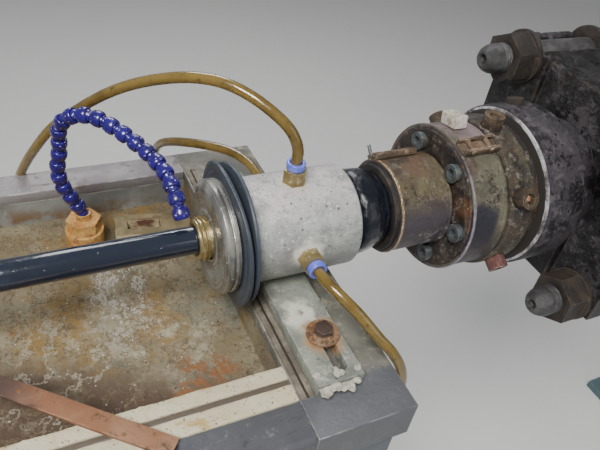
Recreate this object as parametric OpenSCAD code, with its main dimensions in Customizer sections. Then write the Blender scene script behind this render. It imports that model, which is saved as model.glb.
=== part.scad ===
// Head end of a plastic pipe extruder: heated die head on its clamp flanges and barrel,
// calibrating sleeve with cooling hoses, and the open sizing tank on its stand.
// X runs along the pipe towards the barrel, Y towards the back of the tank, Z up.
// The origin is on the floor, under the centre of the barrel's pedestal.

/* [Pipe line] */
// Height of the pipe's axis above the floor
axis_h = 1000; // [900:10:1200]
// Outer diameter of the pipe
pipe_d = 25; // [16:1:30]
// Wall of the pipe
pipe_wall = 2.5; // [1.5:0.5:5]
// Length of pipe past the outlet end of the tank
pipe_over = 54; // [10:2:200]
// Gap between the die lip and the calibrating sleeve, bridged by the soft pipe
draw_gap = 37; // [20:1:100]
// Diameter of the bulge in the soft pipe
bulge_d = 84; // [60:2:84]

/* [Calibrating sleeve] */
// Outer diameter of the cooling jacket
jacket_d = 96; // [80:2:120]
// Length of the cooling jacket
jacket_len = 104; // [100:1:200]
// Chamfer round the jacket's mouth
jacket_chamfer = 2; // [0.5:0.5:4]
// Outer diameter of the brass sizing sleeve
sleeve_d = 40; // [36:1:50]
// Running clearance of the pipe in the sleeve, on the radius
sleeve_clear = 0.2; // [0.1:0.1:1]
// Length of sleeve past the steel flange
sleeve_over = 11; // [8:1:30]
// Diameter of the steel flange
end_flange_d = 102; // [80:2:130]
// Thickness of the steel flange
end_flange_t = 14; // [8:1:20]
// Diameter of the rubber discs
disc_d = 132; // [100:2:140]
// Thickness of one rubber disc
disc_t = 6; // [3:1:10]
// Gap between the rubber discs
disc_gap = 0.6; // [0.2:0.2:3]

/* [Calibrator foot] */
// Width of the foot plate along the pipe
foot_w = 43; // [40:1:60]
// Half the length of the foot plate across the tank
foot_half = 146; // [120:2:160]
// Thickness of the foot plate
foot_t = 14; // [8:1:20]
// Distance of the foot bolts from the pipe's axis
foot_bolt_y = 98; // [80:2:110]
// Distance of the foot bolts from the foot's near edge
foot_bolt_edge = 16; // [15:1:24]
// Diameter of the foot bolts
foot_bolt_d = 10; // [8:1:16]
// Length of the slots in the foot
foot_slot_len = 52; // [20:2:60]
// Diameter of the foot washers
washer_d = 30; // [24:1:36]
// Thickness of the foot washers
washer_t = 3; // [1:0.5:4]

/* [Push-in fittings] */
// Outer diameter of the water hoses
hose_d = 10; // [8:1:12]
// Distance from the jacket's mouth to the fittings
port_inset = 54; // [40:2:70]
// Width across the flats of a fitting
fitting_af = 19; // [14:1:24]
// Height of a fitting's body
fitting_h = 13; // [8:1:20]
// Diameter of a release collar
collar_d = 17; // [13:0.5:20]
// Height of a release collar
collar_h = 7; // [4:0.5:10]
// Depth of a fitting's thread in what holds it
spigot_len = 8; // [4:1:10]

/* [Tank] */
// Length of the tank over its end frames
tank_len = 700; // [500:20:1400]
// Gap between the jacket's mouth and the tank's inlet end, along the pipe
tank_inset = 6; // [2:1:8]
// Distance of the front frame's outer face from the pipe's axis
tank_front = 181; // [150:1:220]
// Distance of the back ledge's outer face from the pipe's axis
tank_back = 217; // [190:1:260]
// Depth of the rim below the pipe's axis
rim_drop = 60; // [56:1:70]
// Thickness of the rim's top plates
rim_t = 12; // [8:1:16]
// Width of the front rim
front_rim_w = 72; // [64:2:90]
// Width of the back ledge
back_rim_w = 36; // [20:2:60]
// Width of the inlet end's frame
inlet_rim_w = 92; // [88:2:96]
// Width of the outlet end's frame
outlet_rim_w = 46; // [30:2:80]
// Height of the skirt round the rim
skirt_h = 40; // [30:2:80]
// Thickness of the skirt
skirt_t = 6; // [4:1:8]
// Depth of the tank's floor below the rim
pan_depth = 41; // [30:1:100]
// Thickness of the tank's sheet
sheet_t = 3; // [2:0.5:5]

/* [Seals] */
// Width of the inner front seal strip
seal_in_w = 13; // [8:1:16]
// Width of the outer front seal strip
seal_out_w = 16; // [10:1:20]
// Rib between the front seal strips
seal_rib = 6; // [5:1:12]
// Width of the end seal strip
seal_end_w = 12; // [8:1:13]
// Depth of the seal grooves
seal_deep = 6; // [4:0.5:8]
// Height of the seals above the rim
seal_proud = 2; // [0.5:0.5:4]

/* [Stand] */
// Side of the square tube of the stand
tube_w = 50; // [40:5:60]
// Wall of the square tube
tube_wall = 4; // [3:0.5:6]
// Height of the lower rails above the floor
low_rail_h = 170; // [120:10:300]
// Distance of the legs from the ends of the tank
leg_inset = 6; // [4:1:60]
// Diameter of a levelling foot
level_d = 60; // [40:2:80]
// Height of a levelling foot below the leg
level_h = 40; // [25:1:60]
// Thickness of a levelling foot's pad
level_pad = 10; // [6:1:14]
// Diameter of a levelling foot's stem
level_stem_d = 16; // [12:1:24]

/* [Die head] */
// Diameter of the die lip
lip_d = 86; // [76:2:90]
// Length of the die lip past the retaining ring
lip_len = 64; // [40:1:80]
// Diameter of the hole in the die lip
lip_bore = 70; // [60:1:72]
// Diameter of the mandrel at the lip
mandrel_d = 56; // [40:1:58]
// Thickness of the heater bands
band_t = 4; // [3:0.5:6]
// Outer diameter of the retaining ring
ring_d = 142; // [130:2:150]
// Length of the retaining ring
ring_len = 43; // [36:1:60]
// Circle of the retaining screws
ring_pcd = 116; // [108:1:120]
// Diameter of the retaining screws' heads
ring_screw_d = 18; // [14:1:18]
// Number of retaining screws
ring_screws = 6; // [4:1:8]
// Outer diameter of the die body
die_d = 156; // [150:2:160]
// Length of the die body
die_len = 39; // [38:1:80]
// Width of the groove behind the die body's bolts
die_groove = 13; // [4:1:13]
// Number of centring bolts round the die body
centring_bolts_n = 6; // [4:1:8]
// Diameter of the centring bolts' heads
centring_d = 20; // [14:1:24]
// Diameter of the gasket behind the die body
gasket_d = 168; // [162:2:190]
// Thickness of the gasket
gasket_t = 3; // [1:0.5:5]
// Diameter of the adapter ring
adapter_d = 172; // [150:2:190]
// Length of the adapter ring and its neck
adapter_len = 85; // [60:1:120]
// Length of the adapter ring
adapter_ring = 44; // [20:1:56]
// Diameter of the adapter's neck
adapter_neck_d = 132; // [100:2:140]

/* [Clamp flanges] */
// Width of the square flanges
flange_w = 256; // [236:2:300]
// Height of the square flanges
flange_height = 222; // [216:2:250]
// Thickness of the die flange
die_flange_t = 47; // [30:1:60]
// Thickness of the barrel flange
barrel_flange_t = 49; // [30:1:60]
// Gap between the two flanges
flange_gap = 1; // [0.5:0.5:4]
// Diameter of the studs
stud_d = 33; // [24:1:36]
// Distance of the studs from the axis, across
stud_y = 96; // [92:1:98]
// Distance of the studs from the axis, up and down
stud_z = 98; // [85:1:104]
// Clearance of the studs in their slots, on the width
stud_clear = 2; // [1:0.5:4]
// Distance of the grooves in the die flange's face from the axis
groove_y = 58; // [50:1:60]
// Width of the grooves in the die flange's face
groove_w = 5; // [3:1:8]
// Depth of the grooves in the die flange's face
groove_deep = 8; // [3:1:20]
// Width across the flats of the nuts
nut_af = 50; // [42:1:58]
// Height of the nuts
nut_h = 26; // [20:1:32]
// Diameter of the washers under the nuts
nut_washer_d = 60; // [50:1:62]
// Thickness of the washers under the nuts
nut_washer_t = 5; // [2:0.5:6]
// Length of the taper on a stud's nose
stud_nose = 14; // [4:1:20]
// Length of stud past the front nuts
stud_over = 29; // [21:1:50]

/* [Barrel] */
// Distance from the barrel flange to the centre of the pedestal
barrel_reach = 872; // [600:4:1200]
// Length of barrel past the pedestal's centre
barrel_over = 100; // [70:2:300]
// Outer diameter of the barrel
barrel_d = 110; // [100:2:140]
// Bore of the barrel
barrel_bore = 45; // [35:1:60]
// Diameter of the barrel's rear flange
rear_flange_d = 200; // [180:2:240]
// Thickness of the barrel's rear flange
rear_flange_t = 28; // [20:1:40]
// Circle of the holes in the rear flange
rear_pcd = 160; // [140:2:170]
// Diameter of the holes in the rear flange
rear_hole_d = 17; // [10:1:22]
// Width of one barrel heater band
barrel_band_w = 160; // [100:5:200]
// Number of barrel heater bands
barrel_bands = 3; // [1:1:4]

/* [Pedestal] */
// Length of the pedestal's base plate
base_l = 280; // [240:10:400]
// Width of the pedestal's base plate
base_w = 320; // [260:10:500]
// Thickness of the pedestal's base plate
base_t = 20; // [12:1:30]
// Side of the pedestal's column
column_w = 140; // [100:5:180]
// Wall of the column
column_wall = 8; // [5:1:12]
// Diameter of the anchor holes
anchor_d = 18; // [12:1:24]
// Distance of the anchor holes from the plate's edge
anchor_edge = 30; // [25:1:50]
// Width of the saddle along the barrel
saddle_w = 100; // [60:2:120]

/* [Cooling spray] */
// Number of links in the jointed hose
links = 21; // [8:1:21]
// Distance from one ball to the next
link_pitch = 13.2; // [12.6:0.1:14]
// Diameter of a link's socket
link_d = 15; // [14:0.2:16]
// Diameter of a link's ball
ball_d = 10.8; // [9.6:0.2:11.2]
// Width of the bronze block that the jointed hose stands on
spray_block_w = 38; // [30:1:50]
// Height of the bronze block
spray_block_h = 44; // [30:1:46]

/* [Water header] */
// Distance of the header pipe from the pipe's axis, towards the back
header_y = 243; // [235:1:260]
// Depth of the header pipe below the pipe's axis
header_drop = 172; // [140:2:200]
// Diameter of the header pipe
header_d = 34; // [26:1:40]
// Thickness of the header's brackets
bracket_t = 8; // [5:1:12]
// Height of the header's brackets
bracket_h = 48; // [44:2:60]
// Distance of the brackets from the header's ends
bracket_inset = 60; // [30:5:150]

/* [Loose pieces in the tank] */
// Length of the brass box behind the pipe
box_l = 80; // [60:2:100]
// Width of the brass box
box_w = 34; // [28:1:40]
// Height of the brass box
box_h = 21; // [14:1:30]
// Length of the slot in the brass box
box_slot_l = 34; // [20:1:44]
// Width of the slot in the brass box
box_slot_w = 12; // [6:1:16]
// Length of the rusty strap across the front rim
strap_l = 162; // [120:2:180]
// Width of the rusty strap
strap_w = 16; // [10:1:24]
// Thickness of the rusty strap
strap_t = 4; // [2:0.5:6]

/* [Hidden] */

// Places along the pipe, from the pedestal towards the outlet
barrel_flange_x = -barrel_reach - barrel_flange_t;
die_flange_x = barrel_flange_x - flange_gap - die_flange_t;
adapter_x = die_flange_x - adapter_len;
gasket_x = adapter_x - gasket_t;
die_x = gasket_x - die_len;
ring_x = die_x - ring_len;
lip_x = ring_x - lip_len;
mouth_x = lip_x - draw_gap;
jacket_x = mouth_x - jacket_len;
disc_x = jacket_x - disc_gap / 2;
end_flange_x = disc_x - 2 * disc_t - 1.5 * disc_gap - end_flange_t;
sleeve_x = end_flange_x - sleeve_over;
port_x = mouth_x - port_inset;
tank_x1 = mouth_x - tank_inset;
tank_x0 = tank_x1 - tank_len;
pipe_x = tank_x0 - pipe_over;

// Heights and widths of the tank
rim_z = axis_h - rim_drop;
floor_z = rim_z - pan_depth;
bearer_z = floor_z - sheet_t - tube_w;
pan_y0 = -tank_front + front_rim_w;
pan_y1 = tank_back - back_rim_w;
pan_x0 = tank_x0 + outlet_rim_w;
pan_x1 = tank_x1 - inlet_rim_w;
jacket_r = jacket_d / 2;
pipe_r = pipe_d / 2;
sink = 0.2;
weld = 0.3;
round_n = 64;
port_d = fitting_af - 5;
hose_hole = hose_d + 0.4;

// Water ports of the header pipe and the hose routes, measured from the jacket's mouth
header_x0 = -620;
header_x1 = -75;
top_port_x = -280;
rear_port_x = -121;
top_route = [[-54, 0, 66], [-54, 1, 80], [-60, 6, 95], [-71, 17, 106], [-88, 34, 116],
    [-107, 53, 120], [-130, 75, 115], [-158, 103, 99], [-183, 128, 78], [-208, 153, 50],
    [-232, 177, 18], [-252, 198, -20], [-267, 218, -58], [-276, 234, -95], [-280, 243, -135]];
rear_route = [[-54, 66, 0], [-54, 82, 2], [-58, 101, 3], [-68, 122, 2], [-84, 146, -4],
    [-101, 170, -13], [-112, 194, -26], [-118, 214, -42], [-120, 232, -68], [-121, 241, -100],
    [-121, 243, -135]];
front_route = [[-54, -66, 0], [-53, -80, 0], [-46, -96, -4], [-34, -112, -15], [-20, -126, -32],
    [-6, -134, -49], [6, -139, -72], [11, -141, -100], [13, -138, -135], [14, -126, -170],
    [16, -100, -202], [18, -62, -226], [20, -18, -238], [22, 32, -240], [24, 84, -232],
    [25, 132, -216], [24, 176, -198], [17, 212, -184], [2, 234, -175], [-20, 242, -172],
    [-50, 243, -172]];

// Route of the jointed hose, measured from the sleeve's outlet end
spray_route = [[-76, 127, -54], [-81, 129, -42], [-87, 130, -30], [-92, 131, -18],
    [-94, 131, -5], [-93, 131, 8], [-90, 130, 20], [-89, 129, 32], [-89, 127, 44],
    [-85, 123, 56], [-77, 116, 65], [-66, 108, 69], [-55, 99, 68], [-45, 89, 64],
    [-35, 78, 59], [-26, 66, 54], [-19, 53, 50], [-15, 40, 47], [-13, 27, 43],
    [-12, 16, 36], [-10, 8, 27], [-9, 3, 15]];

// Shapes that several pieces share
module at_axis(x) {
    translate([x, 0, axis_h]) children();
}

module from_mouth() {
    translate([mouth_x, 0, axis_h]) children();
}

module from_sleeve() {
    translate([sleeve_x, 0, axis_h]) children();
}

module along_x() {
    rotate([0, 90, 0]) children();
}

module turned(x, n = round_n) {
    at_axis(x) along_x() rotate_extrude($fn = n) children();
}

module ring_shape(r_in, r_out, length) {
    translate([r_in, 0]) square([r_out - r_in, length]);
}

module block(x0, x1, y0, y1, z0, z1) {
    translate([x0, y0, z0]) cube([x1 - x0, y1 - y0, z1 - z0]);
}

module hexagon(af, h) {
    cylinder(d = af / cos(30), h = h, $fn = 6);
}

module around(n, start = 0) {
    for (i = [0 : n - 1]) rotate([start + i * 360 / n, 0, 0]) children();
}

module tube_post(x, y, z0, z1) {
    difference() {
        block(x, x + tube_w, y, y + tube_w, z0, z1);
        block(x + tube_wall, x + tube_w - tube_wall, y + tube_wall, y + tube_w - tube_wall,
            z0 - 1, z1 + 1);
    }
}

module tube_rail_x(x0, x1, y, z) {
    difference() {
        block(x0, x1, y, y + tube_w, z, z + tube_w);
        block(x0 - 1, x1 + 1, y + tube_wall, y + tube_w - tube_wall, z + tube_wall,
            z + tube_w - tube_wall);
    }
}

module tube_rail_y(x, y0, y1, z) {
    difference() {
        block(x, x + tube_w, y0, y1, z, z + tube_w);
        block(x + tube_wall, x + tube_w - tube_wall, y0 - 1, y1 + 1, z + tube_wall,
            z + tube_w - tube_wall);
    }
}

// Hose swept along a smooth curve through its route
function smooth(p, i, t) = let (
        a = p[max(i - 1, 0)], b = p[i], c = p[i + 1], d = p[min(i + 2, len(p) - 1)]
    ) 0.5 * (2 * b + (c - a) * t + (2 * a - 5 * b + 4 * c - d) * t * t
        + (3 * b - a - 3 * c + d) * t * t * t);
function curve(p, steps) = [
    for (i = [0 : len(p) - 2]) for (k = [0 : steps - 1]) smooth(p, i, k / steps),
    p[len(p) - 1]];
function unit(v) = v / norm(v);
function heading(p, i) = unit(p[min(i + 1, len(p) - 1)] - p[max(i - 1, 0)]);
function carried(side, dir) = unit(side - (side * dir) * dir);
function sides(p, i, side) = i == len(p) ? [] :
    let (s = carried(side, heading(p, i))) concat([s], sides(p, i + 1, s));

module swept(p, d, n, side) {
    s = sides(p, 0, side);
    rings = [for (i = [0 : len(p) - 1]) let (u = s[i], v = cross(heading(p, i), u))
        for (k = [0 : n - 1]) p[i] + d / 2 * (cos(360 * k / n) * u + sin(360 * k / n) * v)];
    last = (len(p) - 1) * n;
    polyhedron(rings, concat(
        [[for (k = [n - 1 : -1 : 0]) k]],
        [for (i = [0 : len(p) - 2]) for (k = [0 : n - 1])
            [i * n + k, i * n + (k + 1) % n, (i + 1) * n + (k + 1) % n, (i + 1) * n + k]],
        [[for (k = [0 : n - 1]) last + k]]));
}

// The tank
module tank_floor() {
    color("rosybrown")
        block(pan_x0, pan_x1, pan_y0, pan_y1, floor_z - sheet_t, floor_z);
}

module tank_front_wall() {
    color("dimgray")
        block(pan_x0, pan_x1, pan_y0 - sheet_t, pan_y0, floor_z - sheet_t, rim_z - rim_t);
}

module tank_back_wall() {
    color("lightgray")
        block(pan_x0, pan_x1, pan_y1, pan_y1 + sheet_t, floor_z - sheet_t, rim_z - rim_t);
}

module tank_inlet_wall() {
    color("gray")
        block(pan_x1, pan_x1 + sheet_t, pan_y0 - sheet_t, pan_y1 + sheet_t,
            floor_z - sheet_t, rim_z - rim_t);
}

module tank_outlet_wall() {
    color("gray")
        block(pan_x0 - sheet_t, pan_x0, pan_y0 - sheet_t, pan_y1 + sheet_t,
            floor_z - sheet_t, rim_z - rim_t);
}

// Front seals lie side by side from the pan's edge outwards
seal_in_y = pan_y0 - seal_in_w;
seal_out_y = seal_in_y - seal_rib - seal_out_w;
end_seal_x = pan_x1 + 2;

module front_rim() {
    color("slategray") difference() {
        translate([pan_x0, 0, 0]) rotate([90, 0, 90]) linear_extrude(pan_x1 - pan_x0)
            polygon([[pan_y0, rim_z], [-tank_front + 4, rim_z], [-tank_front, rim_z - 4],
                [-tank_front, rim_z - skirt_h], [-tank_front + skirt_t, rim_z - skirt_h],
                [-tank_front + skirt_t, rim_z - rim_t], [pan_y0, rim_z - rim_t]]);
        block(pan_x0 - 1, pan_x1 + 1, seal_in_y, pan_y0 + 1, rim_z - seal_deep, rim_z + 1);
        block(pan_x0 - 1, pan_x1 + 1, seal_out_y, seal_out_y + seal_out_w,
            rim_z - seal_deep, rim_z + 1);
    }
}

module back_rim() {
    color("silver") translate([pan_x0, 0, 0]) rotate([90, 0, 90])
        linear_extrude(pan_x1 - pan_x0)
            polygon([[pan_y1, rim_z], [tank_back, rim_z], [tank_back, rim_z - skirt_h],
                [tank_back - skirt_t, rim_z - skirt_h], [tank_back - skirt_t, rim_z - rim_t],
                [pan_y1, rim_z - rim_t]]);
}

module end_frame(x0, x1, outer) {
    block(x0, x1, -tank_front, tank_back, rim_z - rim_t, rim_z);
    block(outer, outer + skirt_t, -tank_front, tank_back, rim_z - skirt_h, rim_z - rim_t);
    block(x0, x1, -tank_front, -tank_front + skirt_t, rim_z - skirt_h, rim_z - rim_t);
    block(x0, x1, tank_back - skirt_t, tank_back, rim_z - skirt_h, rim_z - rim_t);
}

module inlet_rim() {
    color("slategray") difference() {
        end_frame(pan_x1, tank_x1, tank_x1 - skirt_t);
        block(end_seal_x, end_seal_x + seal_end_w, seal_out_y, pan_y1,
            rim_z - seal_deep, rim_z + 1);
        for (s = [-1, 1])
            translate([foot_x, s * foot_bolt_y, rim_z - rim_t - 1])
                cylinder(d = foot_bolt_d, h = rim_t + 2, $fn = 32);
    }
}

module outlet_rim() {
    color("slategray") end_frame(tank_x0, pan_x0, tank_x0);
}

module front_seals() {
    color("wheat") for (strip = [[seal_in_y, seal_in_w], [seal_out_y, seal_out_w]])
        block(pan_x0, pan_x1, strip[0], strip[0] + strip[1], rim_z - seal_deep,
            rim_z + seal_proud);
}

module end_seal() {
    color("gray")
        block(end_seal_x, end_seal_x + seal_end_w, seal_out_y, pan_y1, rim_z - seal_deep,
            rim_z + seal_proud);
}

// The stand
leg_x1 = tank_x1 - leg_inset - tube_w;
leg_x0 = tank_x0 + leg_inset;
leg_y0 = -tank_front + skirt_t;
leg_y1 = tank_back - skirt_t - tube_w;

module tank_bearers() {
    color("darkslategray") {
        for (y = [leg_y0, leg_y1]) tube_rail_x(leg_x0, leg_x1 + tube_w, y, bearer_z);
        for (x = [leg_x0, leg_x1])
            tube_rail_y(x, leg_y0 + tube_w + weld, leg_y1 - weld, bearer_z);
    }
}

module tank_legs() {
    color("darkslategray")
        for (x = [leg_x0, leg_x1]) for (y = [leg_y0, leg_y1])
            tube_post(x, y, level_h, bearer_z);
}

module stand_rails() {
    color("darkslategray") {
        for (y = [leg_y0, leg_y1])
            tube_rail_x(leg_x0 + tube_w, leg_x1, y, low_rail_h);
        for (x = [leg_x0, leg_x1])
            tube_rail_y(x, leg_y0 + tube_w, leg_y1, low_rail_h);
    }
}

module levelling_feet() {
    color("dimgray")
        for (x = [leg_x0, leg_x1]) for (y = [leg_y0, leg_y1])
            translate([x + tube_w / 2, y + tube_w / 2, 0]) {
                cylinder(d = level_d, h = level_pad, $fn = 48);
                translate([0, 0, level_pad])
                    cylinder(d = level_stem_d, h = level_h - level_pad, $fn = 32);
                translate([0, 0, level_h - level_pad / 2])
                    cylinder(d = tube_w - 2, h = level_pad / 2, $fn = 48);
            }
}

// The calibrating sleeve
module jacket() {
    color("gainsboro") difference() {
        turned(jacket_x)
            polygon([[sleeve_d / 2, 0], [jacket_r - jacket_chamfer, 0],
                [jacket_r, jacket_chamfer], [jacket_r, jacket_len - jacket_chamfer],
                [jacket_r - jacket_chamfer, jacket_len], [sleeve_d / 2, jacket_len]]);
        at_axis(port_x) for (turn = [0, 90, -90])
            rotate([turn, 0, 0]) translate([0, 0, jacket_r - spigot_len])
                cylinder(d = port_d, h = spigot_len + 1, $fn = 32);
    }
}

module sizing_sleeve() {
    color("goldenrod") turned(sleeve_x)
        ring_shape(pipe_r + sleeve_clear, sleeve_d / 2, mouth_x - sleeve_x);
}

module end_flange() {
    color("darkgray") turned(end_flange_x)
        polygon([[sleeve_d / 2, 0], [end_flange_d / 2 - 5, 0], [end_flange_d / 2, 3],
            [end_flange_d / 2, end_flange_t], [sleeve_d / 2, end_flange_t]]);
}

module rubber_discs() {
    color("black") for (i = [0, 1])
        turned(disc_x - disc_t - i * (disc_t + disc_gap))
            ring_shape(sleeve_d / 2, disc_d / 2, disc_t);
}

// The foot stands beside the end seal and carries the jacket in a shallow saddle
foot_x0 = end_seal_x + seal_end_w;
foot_x1 = foot_x0 + foot_w;
foot_x = foot_x1 - foot_bolt_edge;

slot_y0 = foot_bolt_y - 8;
slot_y1 = slot_y0 + foot_slot_len - foot_bolt_d;
slot_w = foot_bolt_d + 2;

module calibrator_foot() {
    color("silver") difference() {
        block(foot_x0, foot_x1, -foot_half, foot_half, rim_z, rim_z + foot_t);
        at_axis(foot_x0 - 1) along_x()
            cylinder(r = jacket_r + sink, h = foot_w + 2, $fn = round_n);
        for (s = [-1, 1]) {
            for (y = [slot_y0, slot_y1]) translate([foot_x, s * y, rim_z - 1])
                cylinder(d = slot_w, h = foot_t + 2, $fn = 32);
            translate([foot_x, s * (slot_y0 + slot_y1) / 2, rim_z + foot_t / 2])
                cube([slot_w, slot_y1 - slot_y0, foot_t + 2], center = true);
        }
    }
}

module foot_bolts() {
    bolt_len = foot_t + rim_t + foot_bolt_d;
    color("peru") for (s = [-1, 1]) translate([foot_x, s * foot_bolt_y, rim_z + foot_t]) {
        cylinder(d = washer_d, h = washer_t, $fn = 48);
        translate([0, 0, washer_t]) hexagon(foot_bolt_d * 1.5, foot_bolt_d * 0.66);
        translate([0, 0, -bolt_len]) cylinder(d = foot_bolt_d, h = bolt_len, $fn = 32);
    }
}

// Push-in fittings: three on the jacket, three on the header
module at_ports() {
    at_axis(port_x) {
        translate([0, 0, jacket_r]) children();
        for (s = [-90, 90]) rotate([s, 0, 0]) translate([0, 0, jacket_r]) children();
    }
    from_mouth() {
        for (x = [top_port_x, rear_port_x])
            translate([x, header_y, -header_drop + header_d / 2]) children();
        translate([header_x1, header_y, -header_drop]) rotate([0, 90, 0]) children();
    }
}

module fitting_bodies() {
    seat = collar_h - 1;
    color("goldenrod") at_ports() difference() {
        union() {
            hexagon(fitting_af, fitting_h);
            translate([0, 0, weld - spigot_len])
                cylinder(d = port_d - sink, h = spigot_len, $fn = 32);
        }
        translate([0, 0, fitting_h - seat]) cylinder(d = hose_hole, h = collar_h, $fn = 32);
    }
}

module fitting_collars() {
    color("cornflowerblue") at_ports() translate([0, 0, fitting_h]) difference() {
        cylinder(d = collar_d, h = collar_h, $fn = 48);
        translate([0, 0, -1]) cylinder(d = hose_hole, h = collar_h + 2, $fn = 32);
    }
}

module top_hose() {
    color("olive") from_mouth() swept(curve(top_route, 2), hose_d, 10, [0, 1, 0]);
}

module rear_hose() {
    color("olive") from_mouth() swept(curve(rear_route, 2), hose_d, 10, [0, 0, 1]);
}

module front_hose() {
    color("olive") from_mouth() swept(curve(front_route, 1), hose_d, 10, [0, 0, 1]);
}

module water_header() {
    color("slategray") difference() {
        from_mouth() translate([header_x0, header_y, -header_drop])
            along_x() cylinder(d = header_d, h = header_x1 - header_x0, $fn = 48);
        at_ports() translate([0, 0, -spigot_len])
            cylinder(d = port_d, h = spigot_len + 1, $fn = 32);
    }
}

module header_brackets() {
    bracket_y = tank_back - skirt_t;
    color("slategray") from_mouth()
        for (x = [header_x0 + bracket_inset, header_x1 - bracket_inset - bracket_t])
            translate([x, 0, -header_drop]) difference() {
                translate([0, bracket_y, -bracket_h / 2])
                    cube([bracket_t, header_y - bracket_y + bracket_h / 2, bracket_h]);
                translate([-1, header_y, 0]) along_x()
                    cylinder(d = header_d + 2 * sink, h = bracket_t + 2, $fn = 48);
            }
}

// The pipe and the soft plastic between die and sleeve
module pipe() {
    color("midnightblue") turned(pipe_x)
        ring_shape(pipe_r - pipe_wall, pipe_r, mouth_x - pipe_x);
}

module soft_pipe() {
    bulge_r = bulge_d / 2;
    bore_r = pipe_r - pipe_wall;
    color("black") turned(mouth_x) polygon([[bore_r, 0], [sleeve_d / 2, 0],
        [bulge_r - 8, draw_gap * 0.08], [bulge_r - 2, draw_gap * 0.2],
        [bulge_r, draw_gap * 0.42], [bulge_r - 2, draw_gap * 0.75], [lip_bore / 2, draw_gap],
        [mandrel_d / 2, draw_gap], [mandrel_d / 2, draw_gap * 0.6]]);
}

// The spray: a bronze block on the tank's floor and a chain of ball and socket links
function walk(c, k, at, left) = left == 0 || k >= len(c) ? [] :
    norm(c[k] - at) < link_pitch ? walk(c, k + 1, at, left) :
    let (next = at + link_pitch * unit(c[k] - at)) concat([next], walk(c, k, next, left - 1));
spray_curve = curve(spray_route, 12);
joints = concat([spray_route[0]], walk(spray_curve, 1, spray_route[0], links));

module link() {
    ball_r = ball_d / 2;
    cup_r = link_d / 2;
    hole = ball_r * 0.45;
    rotate_extrude($fn = 24) difference() {
        union() {
            intersection() {
                circle(r = ball_r, $fn = 32);
                translate([0, -ball_r * 0.8]) square([ball_r, ball_r * 1.8]);
            }
            translate([0, ball_r * 0.5]) square([ball_r * 0.7, link_pitch * 0.6 - ball_r * 0.5]);
            intersection() {
                translate([0, link_pitch]) circle(r = cup_r, $fn = 32);
                translate([0, link_pitch * 0.55]) square([cup_r, link_pitch * 0.6]);
            }
        }
        translate([0, link_pitch]) circle(r = ball_r + 0.25, $fn = 32);
        translate([-1, -link_pitch]) square([hole + 1, 3 * link_pitch]);
        translate([-cup_r, -cup_r]) square([cup_r, 4 * cup_r]);
    }
}

module aim(v) {
    rotate([0, acos(v[2] / norm(v)), atan2(v[1], v[0])]) children();
}

module jointed_hose() {
    color("blue") from_sleeve() for (i = [0 : len(joints) - 2])
        translate(joints[i]) aim(joints[i + 1] - joints[i]) link();
}

module spray_block() {
    ball_z = rim_drop + pan_depth + spray_route[0][2];
    color("chocolate") from_sleeve()
        translate([spray_route[0][0], spray_route[0][1], -rim_drop - pan_depth]) {
            cylinder(d = spray_block_w, h = spray_block_h * 0.62, $fn = 48);
            translate([0, 0, spray_block_h * 0.62])
                hexagon(spray_block_w * 0.8, spray_block_h * 0.3);
            rotate_extrude($fn = 32) difference() {
                translate([0, spray_block_h * 0.9])
                    square([link_d / 2, ball_z + 0.5 - spray_block_h * 0.9]);
                translate([0, ball_z]) circle(d = ball_d + 0.5, $fn = 32);
                translate([-link_d, 0]) square([link_d, 2 * ball_z]);
            }
        }
}

module drain_box() {
    color("darkkhaki") from_sleeve() translate([-48, 112, -rim_drop - pan_depth])
        rotate([0, 0, -8]) difference() {
            cube([box_l, box_w, box_h]);
            translate([box_l / 6, box_w / 3, box_h / 3]) cube([box_slot_l, box_slot_w, box_h]);
        }
}

module strap_bar() {
    color("sienna") from_mouth() translate([-205, -150, seal_proud - rim_drop])
        rotate([0, 0, 139]) translate([-strap_w / 4, -strap_w / 2, 0])
            cube([strap_l, strap_w, strap_t]);
}

// The die head
// The bush has a shoulder that the retaining ring holds
shoulder_x = 16;
shoulder_r = lip_d / 2 + 8;
screw_shank_d = ring_screw_d * 0.67;
screw_sink = 5;
screw_head_h = ring_screw_d * 0.6;

module die_bush() {
    color("dimgray") turned(lip_x)
        polygon([[lip_bore / 2, 0], [lip_d / 2 - 1, 0], [lip_d / 2, 1],
            [lip_d / 2, lip_len + shoulder_x], [shoulder_r, lip_len + shoulder_x],
            [shoulder_r, lip_len + ring_len], [lip_bore / 2 + 4, lip_len + ring_len]]);
}

module mandrel() {
    color("dimgray") turned(lip_x)
        polygon([[0, 0], [mandrel_d / 2, 0], [mandrel_d / 2, lip_len * 0.5],
            [lip_bore / 2 - 3, lip_len + ring_len], [0, lip_len + ring_len]]);
}

// The lip heater stops short of the ring and of the lip's front face
lip_band_x = lip_x + 5;
lip_band_w = lip_len - 6;
lip_band_r = lip_d / 2 + band_t;
big_band_w = ring_len - 2;
big_band_x = die_x - big_band_w - 1;
big_band_r = ring_d / 2 + band_t;

module lip_heater() {
    color("rosybrown") turned(lip_band_x) ring_shape(lip_d / 2 + sink, lip_band_r, lip_band_w);
}

module retaining_ring() {
    step_x = shoulder_x - 0.5;
    step_r = shoulder_r + 0.5;
    neck_r = lip_d / 2 + 0.5;
    color("gray") difference() {
        turned(ring_x) polygon([[neck_r, 0], [ring_d / 2 - 1, 0], [ring_d / 2, 1],
            [ring_d / 2, ring_len], [step_r, ring_len], [step_r, step_x], [neck_r, step_x]]);
        at_axis(ring_x) around(ring_screws, 30) translate([-1, 0, ring_pcd / 2])
            along_x() {
                cylinder(d = screw_shank_d, h = ring_len + 2, $fn = 32);
                cylinder(d = ring_screw_d + 1, h = screw_sink + 1, $fn = 48);
            }
    }
}

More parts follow.
